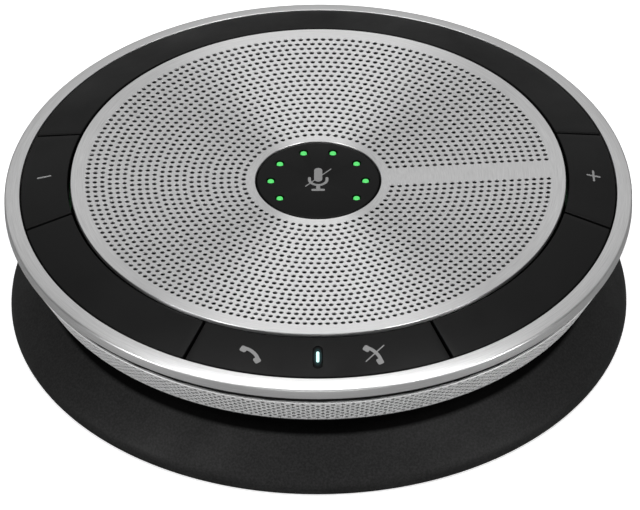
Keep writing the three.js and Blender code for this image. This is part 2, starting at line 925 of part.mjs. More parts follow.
place("top_grille", topGrille(), brushedMetal, overallHeight - grilleThickness);
place("grille_cloth", grilleCloth(), clothFabric, clothBase);
place("mute_button", muteButton(), buttonPlastic);
place("mute_light_guide", muteLightGuide(), greenLens);
place("mute_board", rod(cupInner - fitGap, boardThickness, middleSides), circuitBoard, muteBoardBase);
place("mute_switch", pushSwitch(), chipPlastic, muteSwitchBase);

const keyBoard = turnedRing(seatOuter + fitGap, trayOuter - trayWall - fitGap, boardThickness, wideSides);
place("key_board", keyBoard, circuitBoard, keyBoardBase);
const switchRadius = seatOuter + trayWidth / 2;
const switchAngles = {
  volume_up_switch: volumeKeyCentre,
  volume_down_switch: 180 - volumeKeyCentre,
  answer_switch: 270 - switchAngle,
  end_switch: 270 + switchAngle,
};
for (const [name, angle] of Object.entries(switchAngles)) {
  place(name, pushSwitch(), chipPlastic, 0, spoke(angle, switchRadius, switchBase));
}
place("rocker_pivot", rockerPivot(), housingPlastic, 0, spoke(270, switchRadius, switchBase));

micAngles.forEach((angle, i) => {
  const arm = spoke(angle, hubOuter + fitGap * 2 + micBootLength / 2, micHeight);
  place(`microphone_${i + 1}`, microphone(), screwSteel, 0, arm);
  place(`microphone_boot_${i + 1}`, micBoot(), footRubber, 0, arm);
});

place("main_board", mainBoard(), circuitBoard, mainBoardBase);
const boardTop = mainBoardBase + mainBoardThickness + fitGap;
const boardMiddle = (mainBoardInner + mainBoardOuter) / 2;
const chip = block(chipSize, chipSize, chipHeight);
place("processor_chip", chip, chipPlastic, 0, spoke(processorAngle, boardMiddle, boardTop));
const connector = block(...connectorSize);
place("cable_connector", connector, housingPlastic, 0, spoke(cableAngle, boardMiddle, boardTop));
capacitorAngles.forEach((angle, i) => {
  const can = rod(capacitorRadius, capacitorHeight);
  place(`capacitor_${i + 1}`, can, chipPlastic, 0, spoke(angle, boardMiddle, boardTop));
});

place("speaker_basket", speakerBasket(), speakerSteel);
place("speaker_surround", speakerSurround(), footRubber, surroundBase);
place("speaker_cone", speakerCone(), conePaper);
place("speaker_dust_cap", dustCap(), conePaper);
place("speaker_spider", spider(), spiderFabric, spiderBase);
place("voice_coil", voiceCoil(), copperWire);
place("speaker_yoke", yoke(), speakerSteel);
const magnet = turnedRing(magnetInner, magnetOuter, magnetHeight, middleSides);
place("speaker_magnet", magnet, magnetFerrite, magnetBase);
const motorPlate = turnedRing(gapRadius, plateRadius, topPlate, middleSides);
place("speaker_top_plate", motorPlate, speakerSteel, topPlateBase);

const baseScrewBase = baseLift + basePocket - fitGap - baseScrew.headHeight;
postAngles.forEach((angle, i) => {
  place(`base_screw_${i + 1}`, screw(baseScrew), screwSteel, 0, spoke(angle, postCircle, baseScrewBase));
});
const speakerScrewBase = basketTop - basketFlange - fitGap - speakerScrew.headHeight;
postAngles.forEach((angle, i) => {
  const arm = spoke(angle, speakerScrewCircle, speakerScrewBase);
  place(`speaker_screw_${i + 1}`, screw(speakerScrew), screwSteel, 0, arm);
});
standoffAngles.forEach((angle, i) => {
  const screwMesh = place(
    `board_screw_${i + 1}`,
    screw(boardScrew),
    screwSteel,
    boardScrew.headHeight,
    spoke(angle, standoffCircle, boardTop),
  );
  screwMesh.rotation.x = Math.PI;
});

export default speakerphone;
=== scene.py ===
"""A round conference speakerphone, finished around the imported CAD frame.

Points are worked out in millimetres in the CAD frame (+Z up, the call keys face -Y) and
turned into metres where a mesh is made.
"""

from math import asin, atan2, cos, hypot, pi, radians, sin, tan, tau

import bmesh
import bpy
from mathutils import Matrix, Vector
from mathutils.geometry import delaunay_2d_cdt
from mathutils.kdtree import KDTree


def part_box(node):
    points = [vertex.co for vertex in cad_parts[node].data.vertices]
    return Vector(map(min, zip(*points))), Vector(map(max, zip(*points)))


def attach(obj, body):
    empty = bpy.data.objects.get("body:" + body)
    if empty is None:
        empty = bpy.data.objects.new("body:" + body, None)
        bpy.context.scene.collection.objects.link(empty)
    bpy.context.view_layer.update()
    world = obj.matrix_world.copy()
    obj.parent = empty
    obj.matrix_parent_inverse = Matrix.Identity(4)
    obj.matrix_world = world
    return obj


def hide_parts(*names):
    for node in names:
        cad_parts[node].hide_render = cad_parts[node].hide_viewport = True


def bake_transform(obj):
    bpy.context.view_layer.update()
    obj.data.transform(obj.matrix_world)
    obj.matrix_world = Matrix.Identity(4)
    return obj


scene = bpy.context.scene
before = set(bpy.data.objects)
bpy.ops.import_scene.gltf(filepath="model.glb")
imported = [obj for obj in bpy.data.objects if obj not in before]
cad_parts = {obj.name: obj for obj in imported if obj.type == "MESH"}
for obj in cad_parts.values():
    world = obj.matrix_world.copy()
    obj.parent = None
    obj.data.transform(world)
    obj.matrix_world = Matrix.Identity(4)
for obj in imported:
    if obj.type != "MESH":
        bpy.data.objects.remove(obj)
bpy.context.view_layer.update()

MM = 0.001
WIDE = 256  # steps of a full turn on the large rings
SMALL = 32  # steps of a full turn on small round pieces
ARC_STEPS = 5  # steps of a rounded edge
SMOOTH_ANGLE = radians(32)
MERGE = 1e-7  # metres
LAYOUT_MERGE = 1e-5
INSIDE = 1  # delaunay_2d_cdt's choice that fills the loops with triangles
LEAST_ROUNDING = 0.004
ROUND_END = 0.01  # a box with round ends has this much less rounding than half its width
AXIS = 0.02  # a turned piece closes this near the axis
BEYOND = 1.0  # how far a cutting solid reaches past the piece that it cuts
FIT = 0.3  # gap between pieces that meet


# ---- Places and sizes taken from the frame, in millimetres ----


class Ring:
    """The radii, heights and angles that a CAD node spans round the Z axis."""

    def __init__(self, node):
        points = [v.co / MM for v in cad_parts[node].data.vertices]
        reach = [hypot(p.x, p.y) for p in points]
        self.inner = min(reach)
        self.outer = max(reach)
        self.base = min(p.z for p in points)
        self.top = max(p.z for p in points)
        middle = sum(points, Vector()) / len(points)
        facing = atan2(middle.y, middle.x)
        turns = [(atan2(p.y, p.x) - facing + pi) % tau - pi for p in points]
        self.start = facing + min(turns)
        self.end = facing + max(turns)


def node_box(node):
    low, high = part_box(node)
    return low / MM, high / MM


def middle(node):
    low, high = node_box(node)
    return (low + high) / 2


GRILLE = Ring("top_grille")
BAND = Ring("side_band")
RIM = Ring("rim_ring")
KEY = Ring("call_rocker")
SKIRT = Ring("skirt")
CLOTH = Ring("grille_cloth")
MUTE = Ring("mute_button")
GUIDE = Ring("mute_light_guide")
HOUSING = Ring("lower_housing")
SPOOL = Ring("cable_spool")
BASE = Ring("base_plate")
FOOT = Ring("foot_ring")
SURROUND = Ring("speaker_surround")
SPIDER = Ring("speaker_spider")
WINDOW_LOW, WINDOW_HIGH = node_box("status_window")
WINDOW_X = (WINDOW_LOW.x + WINDOW_HIGH.x) / 2
WINDOW_Y = (WINDOW_LOW.y + WINDOW_HIGH.y) / 2
WINDOW_WIDTH = WINDOW_HIGH.x - WINDOW_LOW.x
WINDOW_LENGTH = WINDOW_HIGH.y - WINDOW_LOW.y
GLAND_LOW, GLAND_HIGH = node_box("cable_gland")
GLAND_HEIGHT = (GLAND_LOW.z + GLAND_HIGH.z) / 2
MIC_LOW, MIC_HIGH = node_box("microphone_1")
MIC_HEIGHT = (MIC_LOW.z + MIC_HIGH.z) / 2


# ---- Outlines: points (x, y) or (radius, height) in millimetres, anticlockwise ----


def inset(corners, depth):
    """The outline through corners (x, y, rounding), moved inwards by a depth."""
    inner = []
    for i, (x, y, rounding) in enumerate(corners):
        before = Vector((x, y)) - Vector(corners[i - 1][:2])
        after = Vector(corners[(i + 1) % len(corners)][:2]) - Vector((x, y))
        n1 = Vector((-before.y, before.x)).normalized()
        n2 = Vector((-after.y, after.x)).normalized()
        shift = (n1 + n2) * (depth / (1 + n1.dot(n2)))
        inner.append((x + shift.x, y + shift.y, rounding - depth))
    return inner


def rounded(corners, steps=ARC_STEPS):
    """The points of an outline whose corners (x, y, rounding) are arcs of that radius."""
    points = []
    for i, (x, y, rounding) in enumerate(corners):
        radius = max(rounding, LEAST_ROUNDING)
        here = Vector((x, y))
        back = (Vector(corners[i - 1][:2]) - here).normalized()
        ahead = (Vector(corners[(i + 1) % len(corners)][:2]) - here).normalized()
        half = back.angle(ahead) / 2
        centre = here + (back + ahead).normalized() * (radius / sin(half))
        first = here + back * (radius / tan(half)) - centre
        last = here + ahead * (radius / tan(half)) - centre
        turn = atan2(first.x * last.y - first.y * last.x, first.dot(last))
        for k in range(steps + 1):
            arm = first.copy()
            arm.rotate(Matrix.Rotation(turn * k / steps, 2))
            points.append((centre.x + arm.x, centre.y + arm.y))
    return points


def polar(radius, angle):
    return radius * cos(angle), radius * sin(angle)


def circle(x, y, radius, sides):
    turns = [tau * i / sides for i in range(sides)]
    return [(x + radius * cos(a), y + radius * sin(a)) for a in turns]


def ring_section(inner, outer, base, top, rounding, steps=ARC_STEPS):
    """The section of a ring with square, rounded corners."""
    corners = [(inner, base), (outer, base), (outer, top), (inner, top)]
    return rounded([(r, z, rounding) for r, z in corners], steps)


def bar(start, end, width, steps=6):
    """The outline of a straight stroke with round ends."""
    along = Vector(end) - Vector(start)
    heading = atan2(along.y, along.x)
    outline = []
    for centre, first in ((end, heading - pi / 2), (start, heading + pi / 2)):
        for k in range(steps + 1):
            angle = first + pi * k / steps
            outline.append((centre[0] + width / 2 * cos(angle), centre[1] + width / 2 * sin(angle)))
    return outline


def bow(radius, width, start, end, steps=16):
    """The outline of an arc-shaped stroke with flat ends, about the origin."""
    angles = [start + (end - start) * k / steps for k in range(steps + 1)]
    outer = [polar(radius + width / 2, a) for a in angles]
    return outer + [polar(radius - width / 2, a) for a in reversed(angles)]


SQUARE = ((-1, -1), (1, -1), (1, 1), (-1, 1))


def box_outline(x, y, length, height, rounding, turn=0.0):
    """A rounded rectangle about a point, turned by an angle."""
    half_x, half_y = length / 2, height / 2
    outline = rounded([(sx * half_x, sy * half_y, rounding) for sx, sy in SQUARE])
    return shifted(turned_outline(outline, turn), x, y)


def turned_outline(outline, turn):
    return [(x * cos(turn) - y * sin(turn), x * sin(turn) + y * cos(turn)) for x, y in outline]


def shifted(outline, dx, dy):
    return [(x + dx, y + dy) for x, y in outline]


# ---- Meshes ----


def shown(name, data):
    """A new object in the scene, made of a mesh, a light or a camera."""
    thing = bpy.data.objects.new(name, data)
    scene.collection.objects.link(thing)
    return thing


def solid(name, points, faces):
    """A new closed mesh, from points in millimetres, with its faces pointing out."""
    mesh = bpy.data.meshes.new(name)
    mesh.from_pydata([Vector(p) * MM for p in points], [], faces)
    work = bmesh.new()
    work.from_mesh(mesh)
    bmesh.ops.remove_doubles(work, verts=work.verts, dist=MERGE)
    bmesh.ops.dissolve_degenerate(work, edges=work.edges, dist=MERGE)
    bmesh.ops.recalc_face_normals(work, faces=work.faces)
    work.to_mesh(mesh)
    work.free()
    return shown(name, mesh)


def swept(name, outlines, closed=False):
    """Rings of points, each joined to the next: a closed loop of rings, or one with flat ends."""
    count = len(outlines[0])
    points = [point for outline in outlines for point in outline]
    rows = len(outlines) if closed else len(outlines) - 1
    faces = []
    for i in range(rows):
        here, there = i * count, (i + 1) % len(outlines) * count
        for j in range(count):
            k = (j + 1) % count
            faces.append((here + j, there + j, there + k, here + k))
    for first in () if closed else (0, rows * count):
        faces.append([first + j for j in range(count)])
    return solid(name, points, faces)


def at_angle(outline, angle):
    """Points (radius, height) as points in space, in the upright plane at an angle."""
    return [(*polar(r, angle), z) for r, z in outline]


def turned(name, outline, sides=WIDE):
    """An outline of (radius, height) points turned round Z."""
    return swept(name, [at_angle(outline, tau * i / sides) for i in range(sides)], closed=True)


def segment(name, corners, start, end, edge):
    """Part of a turned ring between two angles, with its end edges rounded too."""
    quarter = [pi / 2 * k / ARC_STEPS for k in range(ARC_STEPS + 1)]
    ends = [(rounded(inset(corners, edge * (1 - sin(q)))), edge * (1 - cos(q))) for q in quarter]
    rings = []
    for outline, along in ends:
        rings.append([(r, start + along / r, z) for r, z in outline])
    inner_steps = max(2, round((end - start) / tau * WIDE))
    outline = ends[-1][0]
    for i in range(1, inner_steps):
        share = i / inner_steps
        rings.append(
            [(r, start + edge / r + (end - start - 2 * edge / r) * share, z) for r, z in outline]
        )
    for outline, along in reversed(ends):
        rings.append([(r, end - along / r, z) for r, z in outline])
    placed = [[(*polar(r, a), z) for r, a, z in ring] for ring in rings]
    return swept(name, placed)


def plate(name, outlines, top, bottom, holes=(), creases=()):
    """A sheet laid out flat: the union of outlines, less holes, lifted to its two faces.

    Creases are loops that only add edges. top and bottom turn a layout point into a point in space.
    """
    points, loops, edges = [], [], []
    for outline in [*outlines, *holes]:
        loops.append(list(range(len(points), len(points) + len(outline))))
        points += outline
    for outline in creases:
        first, count = len(points), len(outline)
        edges += [(first + i, first + (i + 1) % count) for i in range(count)]
        points += outline
    layout, _, triangles, _, _, owners = delaunay_2d_cdt(
        [Vector(p) for p in points], edges, loops, INSIDE, LAYOUT_MERGE
    )
    kept = [t for t, own in zip(triangles, owners) if own and max(own) < len(outlines)]
    used = sorted({v for t in kept for v in t})
    place = {v: i for i, v in enumerate(used)}
    count = len(used)
    upper = [tuple(place[v] for v in t) for t in kept]
    sides = {}
    for a, b, c in upper:
        for edge in ((a, b), (b, c), (c, a)):
            if edge[::-1] in sides:
                del sides[edge[::-1]]
            else:
                sides[edge] = True
    lower = [tuple(v + count for v in reversed(t)) for t in upper]
    walls = [(a, a + count, b + count, b) for a, b in sides]
    spots = [layout[v] for v in used]
    return solid(
        name,
        [top(p.x, p.y) for p in spots] + [bottom(p.x, p.y) for p in spots],
        upper + lower + walls,
    )


NEAR = 1.1  # a point this many hole radii from a hole's centre is still on its edge


def narrowed(centres, radius, share):
    """A layout map that pulls each hole's edge towards the hole's own centre."""
    tree = KDTree(len(centres))
    for i, (x, y) in enumerate(centres):
        tree.insert((x, y, 0), i)
    tree.balance()

    def pull(x, y):
        centre, _, distance = tree.find((x, y, 0))
        if distance > NEAR * radius:
            return None
        return x + (centre.x - x) * share, y + (centre.y - y) * share

    return pull


def combined(piece, operation, tools):
    """A piece with other solids cut out of it or joined to it."""
    for tool in tools:
        change = piece.modifiers.new("combine", "BOOLEAN")
        change.operation = operation
        change.solver = "EXACT"
        change.object = tool
    graph = bpy.context.evaluated_depsgraph_get()
    mesh = bpy.data.meshes.new_from_object(piece.evaluated_get(graph))
    piece.modifiers.clear()
    piece.data = mesh
    for tool in tools:
        bpy.data.objects.remove(tool)
    return piece


def at(x, y, z):
    return Matrix.Translation((x, y, z))


def rod(name, radius, length, place, sides=SMALL):
    """A cylinder along +Z from the origin, moved by a matrix in millimetres."""
    return moved(prism(name, circle(0, 0, radius, sides), 0, length), place)


def moved(piece, place):
    """Moves a mesh by a matrix whose shift is in millimetres."""
    shift = place.copy()
    shift.translation *= MM
    piece.data.transform(shift)
    return piece


def prism(name, outline, base, top):
    """An upright block with a flat outline."""
    return swept(name, [[(x, y, z) for x, y in outline] for z in (base, top)])


def dress(piece, slot, *nodes):
    """Gives a piece its look and smooth shading, and hides the CAD nodes that it stands for."""
    piece.data.materials.clear()
    piece.data.materials.append(LOOKS[slot])
    piece.data.shade_smooth()
    piece.data.set_sharp_from_angle(angle=SMOOTH_ANGLE)
    if nodes:
        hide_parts(*nodes)


def show(piece, slot, *nodes, body="housing"):
    """Finishes a stiff piece that rides one body."""
    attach(piece, body)
    dress(piece, slot, *nodes)


# ---- Materials ----


def add(tree, kind, inputs=None, **settings):
    """A shader node, with its settings and its inputs as values or as sockets to link."""
    made = tree.nodes.new("ShaderNode" + kind)
    for key, value in settings.items():
        setattr(made, key, value)
    for socket, value in (inputs or {}).items():
        if isinstance(value, bpy.types.NodeSocket):
            tree.links.new(value, made.inputs[socket])
        else:
            made.inputs[socket].default_value = value
    return made


def reckon(tree, kind, operation, *values):
    """The result of a Math or VectorMath node."""
    outputs = add(tree, kind, dict(enumerate(values)), operation=operation).outputs
    return outputs["Value" if operation == "LENGTH" else 0]


SPECULAR = "Specular IOR Level"


def plain_look(slot, color, roughness, constants=None):
    """A material with one shader, its constants set on the shader's own sockets."""
    look = bpy.data.materials.new(slot + "_look")
    look.use_nodes = True
    shader = look.node_tree.nodes["Principled BSDF"]
    shader.inputs["Base Color"].default_value = (*color, 1)
    shader.inputs["Roughness"].default_value = roughness
    for socket, value in (constants or {}).items():
        shader.inputs[socket].default_value = value
    return look, look.node_tree, shader


def grey(value):
    return (value, value, value)


def spot(tree, scale):
    """Object coordinates in units of one over scale metres."""
    coords = add(tree, "TexCoord").outputs["Object"]
    return reckon(tree, "VectorMath", "MULTIPLY", coords, grey(scale))


def height_in(tree):
    """The height over the table, in metres."""
    return add(tree, "SeparateXYZ", {0: add(tree, "TexCoord").outputs["Object"]}).outputs[2]


def link(tree, shader, color, roughness=None):
    """Links a colour, and a roughness that varies, to the shader."""
    tree.links.new(color, shader.inputs["Base Color"])
    if roughness is not None:
        tree.links.new(roughness, shader.inputs["Roughness"])


def ranged(tree, value, low, high, start=0.3, end=0.7):
    """A value from start to end, turned into a value from low to high."""
    return add(
        tree,
        "MapRange",
        {"Value": value, "From Min": start, "From Max": end, "To Min": low, "To Max": high},
    ).outputs[0]


def tinted(tree, factor, first, second):
    """A colour between two, by a factor from 0 to 1."""
    mix = add(tree, "Mix", {0: factor, 6: (*first, 1), 7: (*second, 1)}, data_type="RGBA")
    return mix.outputs[2]


def bumped(tree, shader, height, strength, depth):
    bump = add(tree, "Bump", {"Height": height, "Strength": strength, "Distance": depth * MM})
    tree.links.new(bump.outputs[0], shader.inputs["Normal"])


def noise(tree, vector, detail=3.0, rough=0.55):
    inputs = {"Vector": vector, "Scale": 1.0, "Detail": detail, "Roughness": rough}
    return add(tree, "TexNoise", inputs).outputs[0]


BRUSH_TURN = 0.25  # stretches the highlight across the brushing
STREAKS_ROUND = 9.0  # about how many streaks follow each other round a quarter circle


def brushed_look(slot, value, roughness, streak, anisotropy=0.85):
    """Metal brushed round the Z axis: fine streaks that follow circles."""
    shine = {"Metallic": 1.0, "Anisotropic": anisotropy, "Anisotropic Rotation": BRUSH_TURN}
    look, tree, shader = plain_look(slot, grey(value), roughness, shine)
    tangent = add(tree, "Tangent", direction_type="RADIAL", axis="Z")
    tree.links.new(tangent.outputs[0], shader.inputs["Tangent"])
    coords = add(tree, "TexCoord").outputs["Object"]
    parts = add(tree, "SeparateXYZ", {0: coords}).outputs
    flat = add(tree, "CombineXYZ", {0: parts[0], 1: parts[1]}).outputs[0]
    facing = reckon(tree, "VectorMath", "NORMALIZE", flat)
    reach = reckon(tree, "VectorMath", "LENGTH", flat)
    height = reckon(tree, "Math", "ADD", reach, parts[2])
    lane = reckon(tree, "Math", "MULTIPLY", height, 1 / (streak * MM))
    lanes = add(tree, "CombineXYZ", {2: lane}).outputs[0]
    scratch = reckon(tree, "VectorMath", "MULTIPLY_ADD", facing, grey(STREAKS_ROUND), lanes)
    pattern = noise(tree, scratch, detail=4.0, rough=0.6)
    shade = tinted(tree, ranged(tree, pattern, 0, 1), grey(value * 0.88), grey(min(1, value * 1.08)))
    link(tree, shader, shade, ranged(tree, pattern, roughness * 1.15, roughness * 0.85))
    bumped(tree, shader, pattern, 0.12, 0.01)
    return look


PATCHES = 60.0  # how many soft patches there are to a metre, about
PATCHY = 0.25  # share by which their roughness varies


def grained_look(slot, value, roughness, grain, depth, specular=0.35):
    """Moulded plastic or rubber: fine grain, and soft patches where it is more or less matt."""
    look, tree, shader = plain_look(slot, grey(value), roughness, {SPECULAR: specular})
    fine = noise(tree, spot(tree, 1 / (grain * MM)), detail=2.0)
    patches = noise(tree, spot(tree, PATCHES), detail=4.0)
    shade = tinted(tree, ranged(tree, patches, 0, 1), grey(value * 0.85), grey(value * 1.2))
    rough = ranged(tree, patches, roughness * (1 - PATCHY), min(1, roughness * (1 + PATCHY)))
    link(tree, shader, shade, rough)
    bumped(tree, shader, fine, 0.25, depth)
    return look


WORN_HEIGHT = 4.0  # the skirt is scuffed up to this height above its lower edge
SCUFFS = 90.0  # to a metre, about
RUBBER_GRAIN = 0.4
RUBBER_PORES = 0.12
PAINTED_SHADOW_FROM = 9.4  # painted shadow: above this height the skirt is painted darker and less glossy, for the shade under the side band
PAINTED_SHADOW_TO = 10.0


def skirt_look():
    """Soft-touch rubber: fine grain, dusty and scuffed towards its lower edge, with a painted shadow
    (darker and less glossy) on its upper part under the band.
    """
    specular = {SPECULAR: 0.4}
    look, tree, shader = plain_look("skirt_rubber", grey(0.012), 0.6, specular)
    height = height_in(tree)
    patches = noise(tree, spot(tree, SCUFFS), detail=6.0)
    low = ranged(tree, height, 1.0, 0.0, SKIRT.base * MM, (SKIRT.base + WORN_HEIGHT) * MM)
    scuffed = ranged(tree, patches, 0.0, 1.0, 0.4, 0.7)
    worn = reckon(tree, "Math", "MULTIPLY", low, scuffed)
    grain = ranged(tree, noise(tree, spot(tree, 1 / (RUBBER_GRAIN * MM)), detail=3.0), 0.0, 1.0)
    mixed = reckon(tree, "Math", "MULTIPLY_ADD", worn, 0.5, grain)
    pale = tinted(tree, ranged(tree, mixed, 0.0, 1.0, 0.2, 1.4), grey(0.004), grey(0.022))
    # Painted shadow: above this height the rubber's colour drops to a tenth and its gloss is cut,
    # standing in for the shade that the band and rim cast on the skirt.
    matt = ranged(tree, height, 0.0, 1.0, PAINTED_SHADOW_FROM * MM, PAINTED_SHADOW_TO * MM)
    painted_shadow_tone = tinted(tree, matt, grey(1), grey(0.1))
    shade = reckon(tree, "VectorMath", "MULTIPLY", pale, painted_shadow_tone)
    link(tree, shader, shade, ranged(tree, patches, 0.52, 0.68))
    painted_shadow_gloss = ranged(tree, height, 0.28, 0.03, PAINTED_SHADOW_FROM * MM, PAINTED_SHADOW_TO * MM)
    tree.links.new(painted_shadow_gloss, shader.inputs[SPECULAR])
    pores = noise(tree, spot(tree, 1 / (RUBBER_PORES * MM)), detail=2.0)
    bumped(tree, shader, pores, 0.3, 0.012)
    return look


def light_look(slot, color, strength, dark, from_height, to_height):
    """A light pipe: it glows where it is above a height, and is dark plastic below."""
    look, tree, shader = plain_look(slot, dark, 0.3, {"Emission Color": (*color, 1)})
    glow = ranged(tree, height_in(tree), 0.0, strength, from_height * MM, to_height * MM)
    tree.links.new(glow, shader.inputs["Emission Strength"])
    return look


WINDOW_GAP = 0.12
LENS_SINK = 0.06  # the lens below the key's surface
GLOW_WIDTH = 0.58
GLOW_LENGTH = 2.4
GLOW_SINK = 0.03  # the bar of light below the key's surface
GLOW_BASE = 0.1
GLOW_SHIFT = 0.1  # towards the device's middle
GLOW_HALO = 0.9


def window_look():
    """Near-black glossy plastic, faintly lit round the bar of light in it."""
    glow = {SPECULAR: 0.06, "Emission Color": (0.3, 0.85, 0.9, 1)}
    look, tree, shader = plain_look("window_plastic", grey(0.0005), 0.25, glow)
    coords = add(tree, "TexCoord").outputs["Object"]
    centre = (WINDOW_X * MM, (WINDOW_Y + GLOW_SHIFT) * MM, 0)
    away = reckon(tree, "VectorMath", "SUBTRACT", coords, centre)
    widths = (1 / (GLOW_HALO * MM), 1 / ((GLOW_HALO + GLOW_LENGTH / 2) * MM), 0)
    spread = reckon(tree, "VectorMath", "MULTIPLY", away, widths)
    reach = reckon(tree, "VectorMath", "LENGTH", spread)
    tree.links.new(ranged(tree, reach, 0.08, 0.0, 0.35, 1.0), shader.inputs["Emission Strength"])
    return look


def woven_look(slot, value, thread):
    """Plain woven acoustic cloth."""
    soft = {SPECULAR: 0.2, "Sheen Weight": 0.2}
    look, tree, shader = plain_look(slot, grey(value), 0.9, soft)
    waves = []
    for direction in ("X", "Y"):
        inputs = {"Vector": spot(tree, 1 / (thread * MM)), "Scale": 1.0, "Distortion": 0.4}
        waves.append(add(tree, "TexWave", inputs, bands_direction=direction).outputs["Fac"])
    threads = reckon(tree, "Math", "MAXIMUM", *waves)
    link(tree, shader, tinted(tree, threads, grey(value * 0.3), grey(value * 1.5)))
    bumped(tree, shader, threads, 0.6, 0.1)
    return look


def speckled_look(slot, color, roughness, grain, spread=0.35, metallic=0.0, depth=0.02):
    """A material whose colour varies in small specks, such as cast, pressed or printed stuff."""
    look, tree, shader = plain_look(slot, color, roughness, {"Metallic": metallic})
    specks = noise(tree, spot(tree, 1 / (grain * MM)), detail=5.0, rough=0.7)
    dark = [c * (1 - spread) for c in color]
    pale = [min(1, c * (1 + spread)) for c in color]
    rough = ranged(tree, specks, roughness * 0.85, min(1, roughness * 1.15))
    link(tree, shader, tinted(tree, ranged(tree, specks, 0, 1), dark, pale), rough)
    bumped(tree, shader, specks, 0.2, depth)
    return look


TRACK_CELLS = 700.0  # to a metre, about


def board_look():
    """A circuit board: green solder mask with pale copper tracks under it."""
    look, tree, shader = plain_look("circuit_board", (0.01, 0.09, 0.03), 0.35)
    inputs = {"Vector": spot(tree, TRACK_CELLS), "Scale": 1.0, "Randomness": 0.35}
    cells = add(tree, "TexVoronoi", inputs, distance="MANHATTAN").outputs["Distance"]
    tracks = ranged(tree, cells, 1.0, 0.0, 0.55, 0.6)
    link(tree, shader, tinted(tree, tracks, (0.03, 0.16, 0.05), (0.008, 0.075, 0.025)))
    bumped(tree, shader, tracks, 0.3, 0.03)
    return look


WIRE = 0.16


def wound_look():
    """Enamelled copper wire, wound in turns up the coil."""
    look, tree, shader = plain_look("copper", (0.72, 0.27, 0.12), 0.3, {"Metallic": 1.0})
    inputs = {"Vector": spot(tree, 1 / (WIRE * MM)), "Scale": 0.31}
    turns = add(tree, "TexWave", inputs, bands_direction="Z").outputs["Fac"]
    link(tree, shader, tinted(tree, turns, (0.35, 0.1, 0.04), (0.8, 0.33, 0.16)))
    bumped(tree, shader, turns, 0.8, 0.05)
    return look


GREEN_FROM = 28.9  # the light guide's pegs glow above this height
GREEN_TO = 29.3
GLOW_FROM = 20.0  # below the status light, so that all of it glows
GLOW_TO = 20.1

MADE = [
    brushed_look("grille_metal", 0.78, 0.35, 0.11),
    brushed_look("rim_metal", 0.74, 0.38, 0.09, anisotropy=0.5),
    speckled_look("band_metal", grey(0.95), 0.42, 0.3, 0.05, 0.15, 0.006),
    grained_look("key_plastic", 0.003, 0.45, 0.09, 0.004, specular=0.14),
    grained_look("button_plastic", 0.003, 0.42, 0.09, 0.004, specular=0.12),
    speckled_look("icon_ink", grey(0.22), 0.5, 0.2, spread=0.06, depth=0.003),
    light_look("green_light", (0.1, 0.75, 0.16), 1.0, (0.0, 0.05, 0.01), GREEN_FROM, GREEN_TO),
    light_look("status_glow", (0.62, 0.97, 0.93), 1.2, (0.1, 0.2, 0.2), GLOW_FROM, GLOW_TO),
    window_look(),
    grained_look("housing_plastic", 0.004, 0.55, 0.15, 0.01, specular=0.2),
    skirt_look(),
    grained_look("foot_rubber", 0.01, 0.8, 0.2, 0.02),
    woven_look("acoustic_cloth", 0.006, 0.22),
    board_look(),
    speckled_look("component_plastic", grey(0.02), 0.45, 0.15),
    speckled_look("steel", grey(0.55), 0.32, 0.4, 0.12, 1.0, 0.006),
    speckled_look("screw_steel", grey(0.5), 0.28, 0.3, 0.15, 1.0, 0.006),
    speckled_look("ferrite", grey(0.03), 0.6, 0.25, 0.5),
    speckled_look("cone_paper", grey(0.018), 0.85, 0.35, 0.5, 0.0, 0.05),
    woven_look("spider_fabric", 0.35, 0.35),
    wound_look(),
]
LOOKS = {look.name.removesuffix("_look"): look for look in MADE}


# ---- Top grille and side band ----

GRILLE_PITCH = 1.42  # between rings of holes, and about that between holes on a ring
FIRST_HOLES = 14.25  # radius of the innermost ring of holes
HOLE_RINGS = 22
HOLE_RADIUS = 0.48
HOLE_SIDES = 12
STRIP_HALF = 3.0  # from the axis of the blank strip to the nearest hole centres
STRIP_ANGLE = radians(4.4)
PLATE_EDGE = 0.08
HOLE_DEPTH = 0.2
HOLE_TAPER = 0.12  # share by which a hole is narrower at its lower edge
COUNT_INSET = 0.6  # the holes on a ring are counted on a circle this much smaller


def grille_holes():
    """The centres of the round holes, on rings that stop short of the blank strip."""
    centres = []
    for ring in range(HOLE_RINGS):
        radius = FIRST_HOLES + GRILLE_PITCH * ring
        strip = asin(STRIP_HALF / radius)
        gaps = round((tau - 2 * strip) * (radius - COUNT_INSET) / GRILLE_PITCH)
        for k in range(gaps + 1):
            centres.append(polar(radius, STRIP_ANGLE + strip + (tau - 2 * strip) * k / gaps))
    return centres


def perforated_grille():
    """A disc with a small bevel at both of its edges, and round holes."""
    creases = [circle(0, 0, r, WIDE) for r in (GRILLE.outer - PLATE_EDGE, GRILLE.inner + PLATE_EDGE)]
    centres = grille_holes()
    holes = [circle(0, 0, GRILLE.inner, WIDE)]
    holes += [circle(x, y, HOLE_RADIUS, HOLE_SIDES) for x, y in centres]
    pull = narrowed(centres, HOLE_RADIUS, HOLE_TAPER)

    def top(x, y):
        reach = hypot(x, y)
        near_edge = min(GRILLE.outer - reach, reach - GRILLE.inner) < PLATE_EDGE / 2
        return x, y, GRILLE.top - (PLATE_EDGE if near_edge else 0)

    def bottom(x, y):
        pulled = pull(x, y)
        if pulled is None:
            return x, y, GRILLE.base
        return *pulled, GRILLE.top - HOLE_DEPTH

    outlines = [circle(0, 0, GRILLE.outer, WIDE)]
    return plate("perforated_grille", outlines, top, bottom, holes, creases)


BAND_ROWS = 10
BAND_PITCH = 0.68  # between rows of holes along the slope
BAND_HOLES = 192  # in one row
BAND_HOLE_RADIUS = 0.44
BAND_HOLE_SIDES = 12
BAND_HOLE_TAPER = 0.04
BAND_HOLE_DEPTH = 0.45
BAND_WALL = 0.6
BAND_EDGE = 0.14
LAYOUT_INNER = 50.0  # radius of the band's lower edge when it is laid out flat


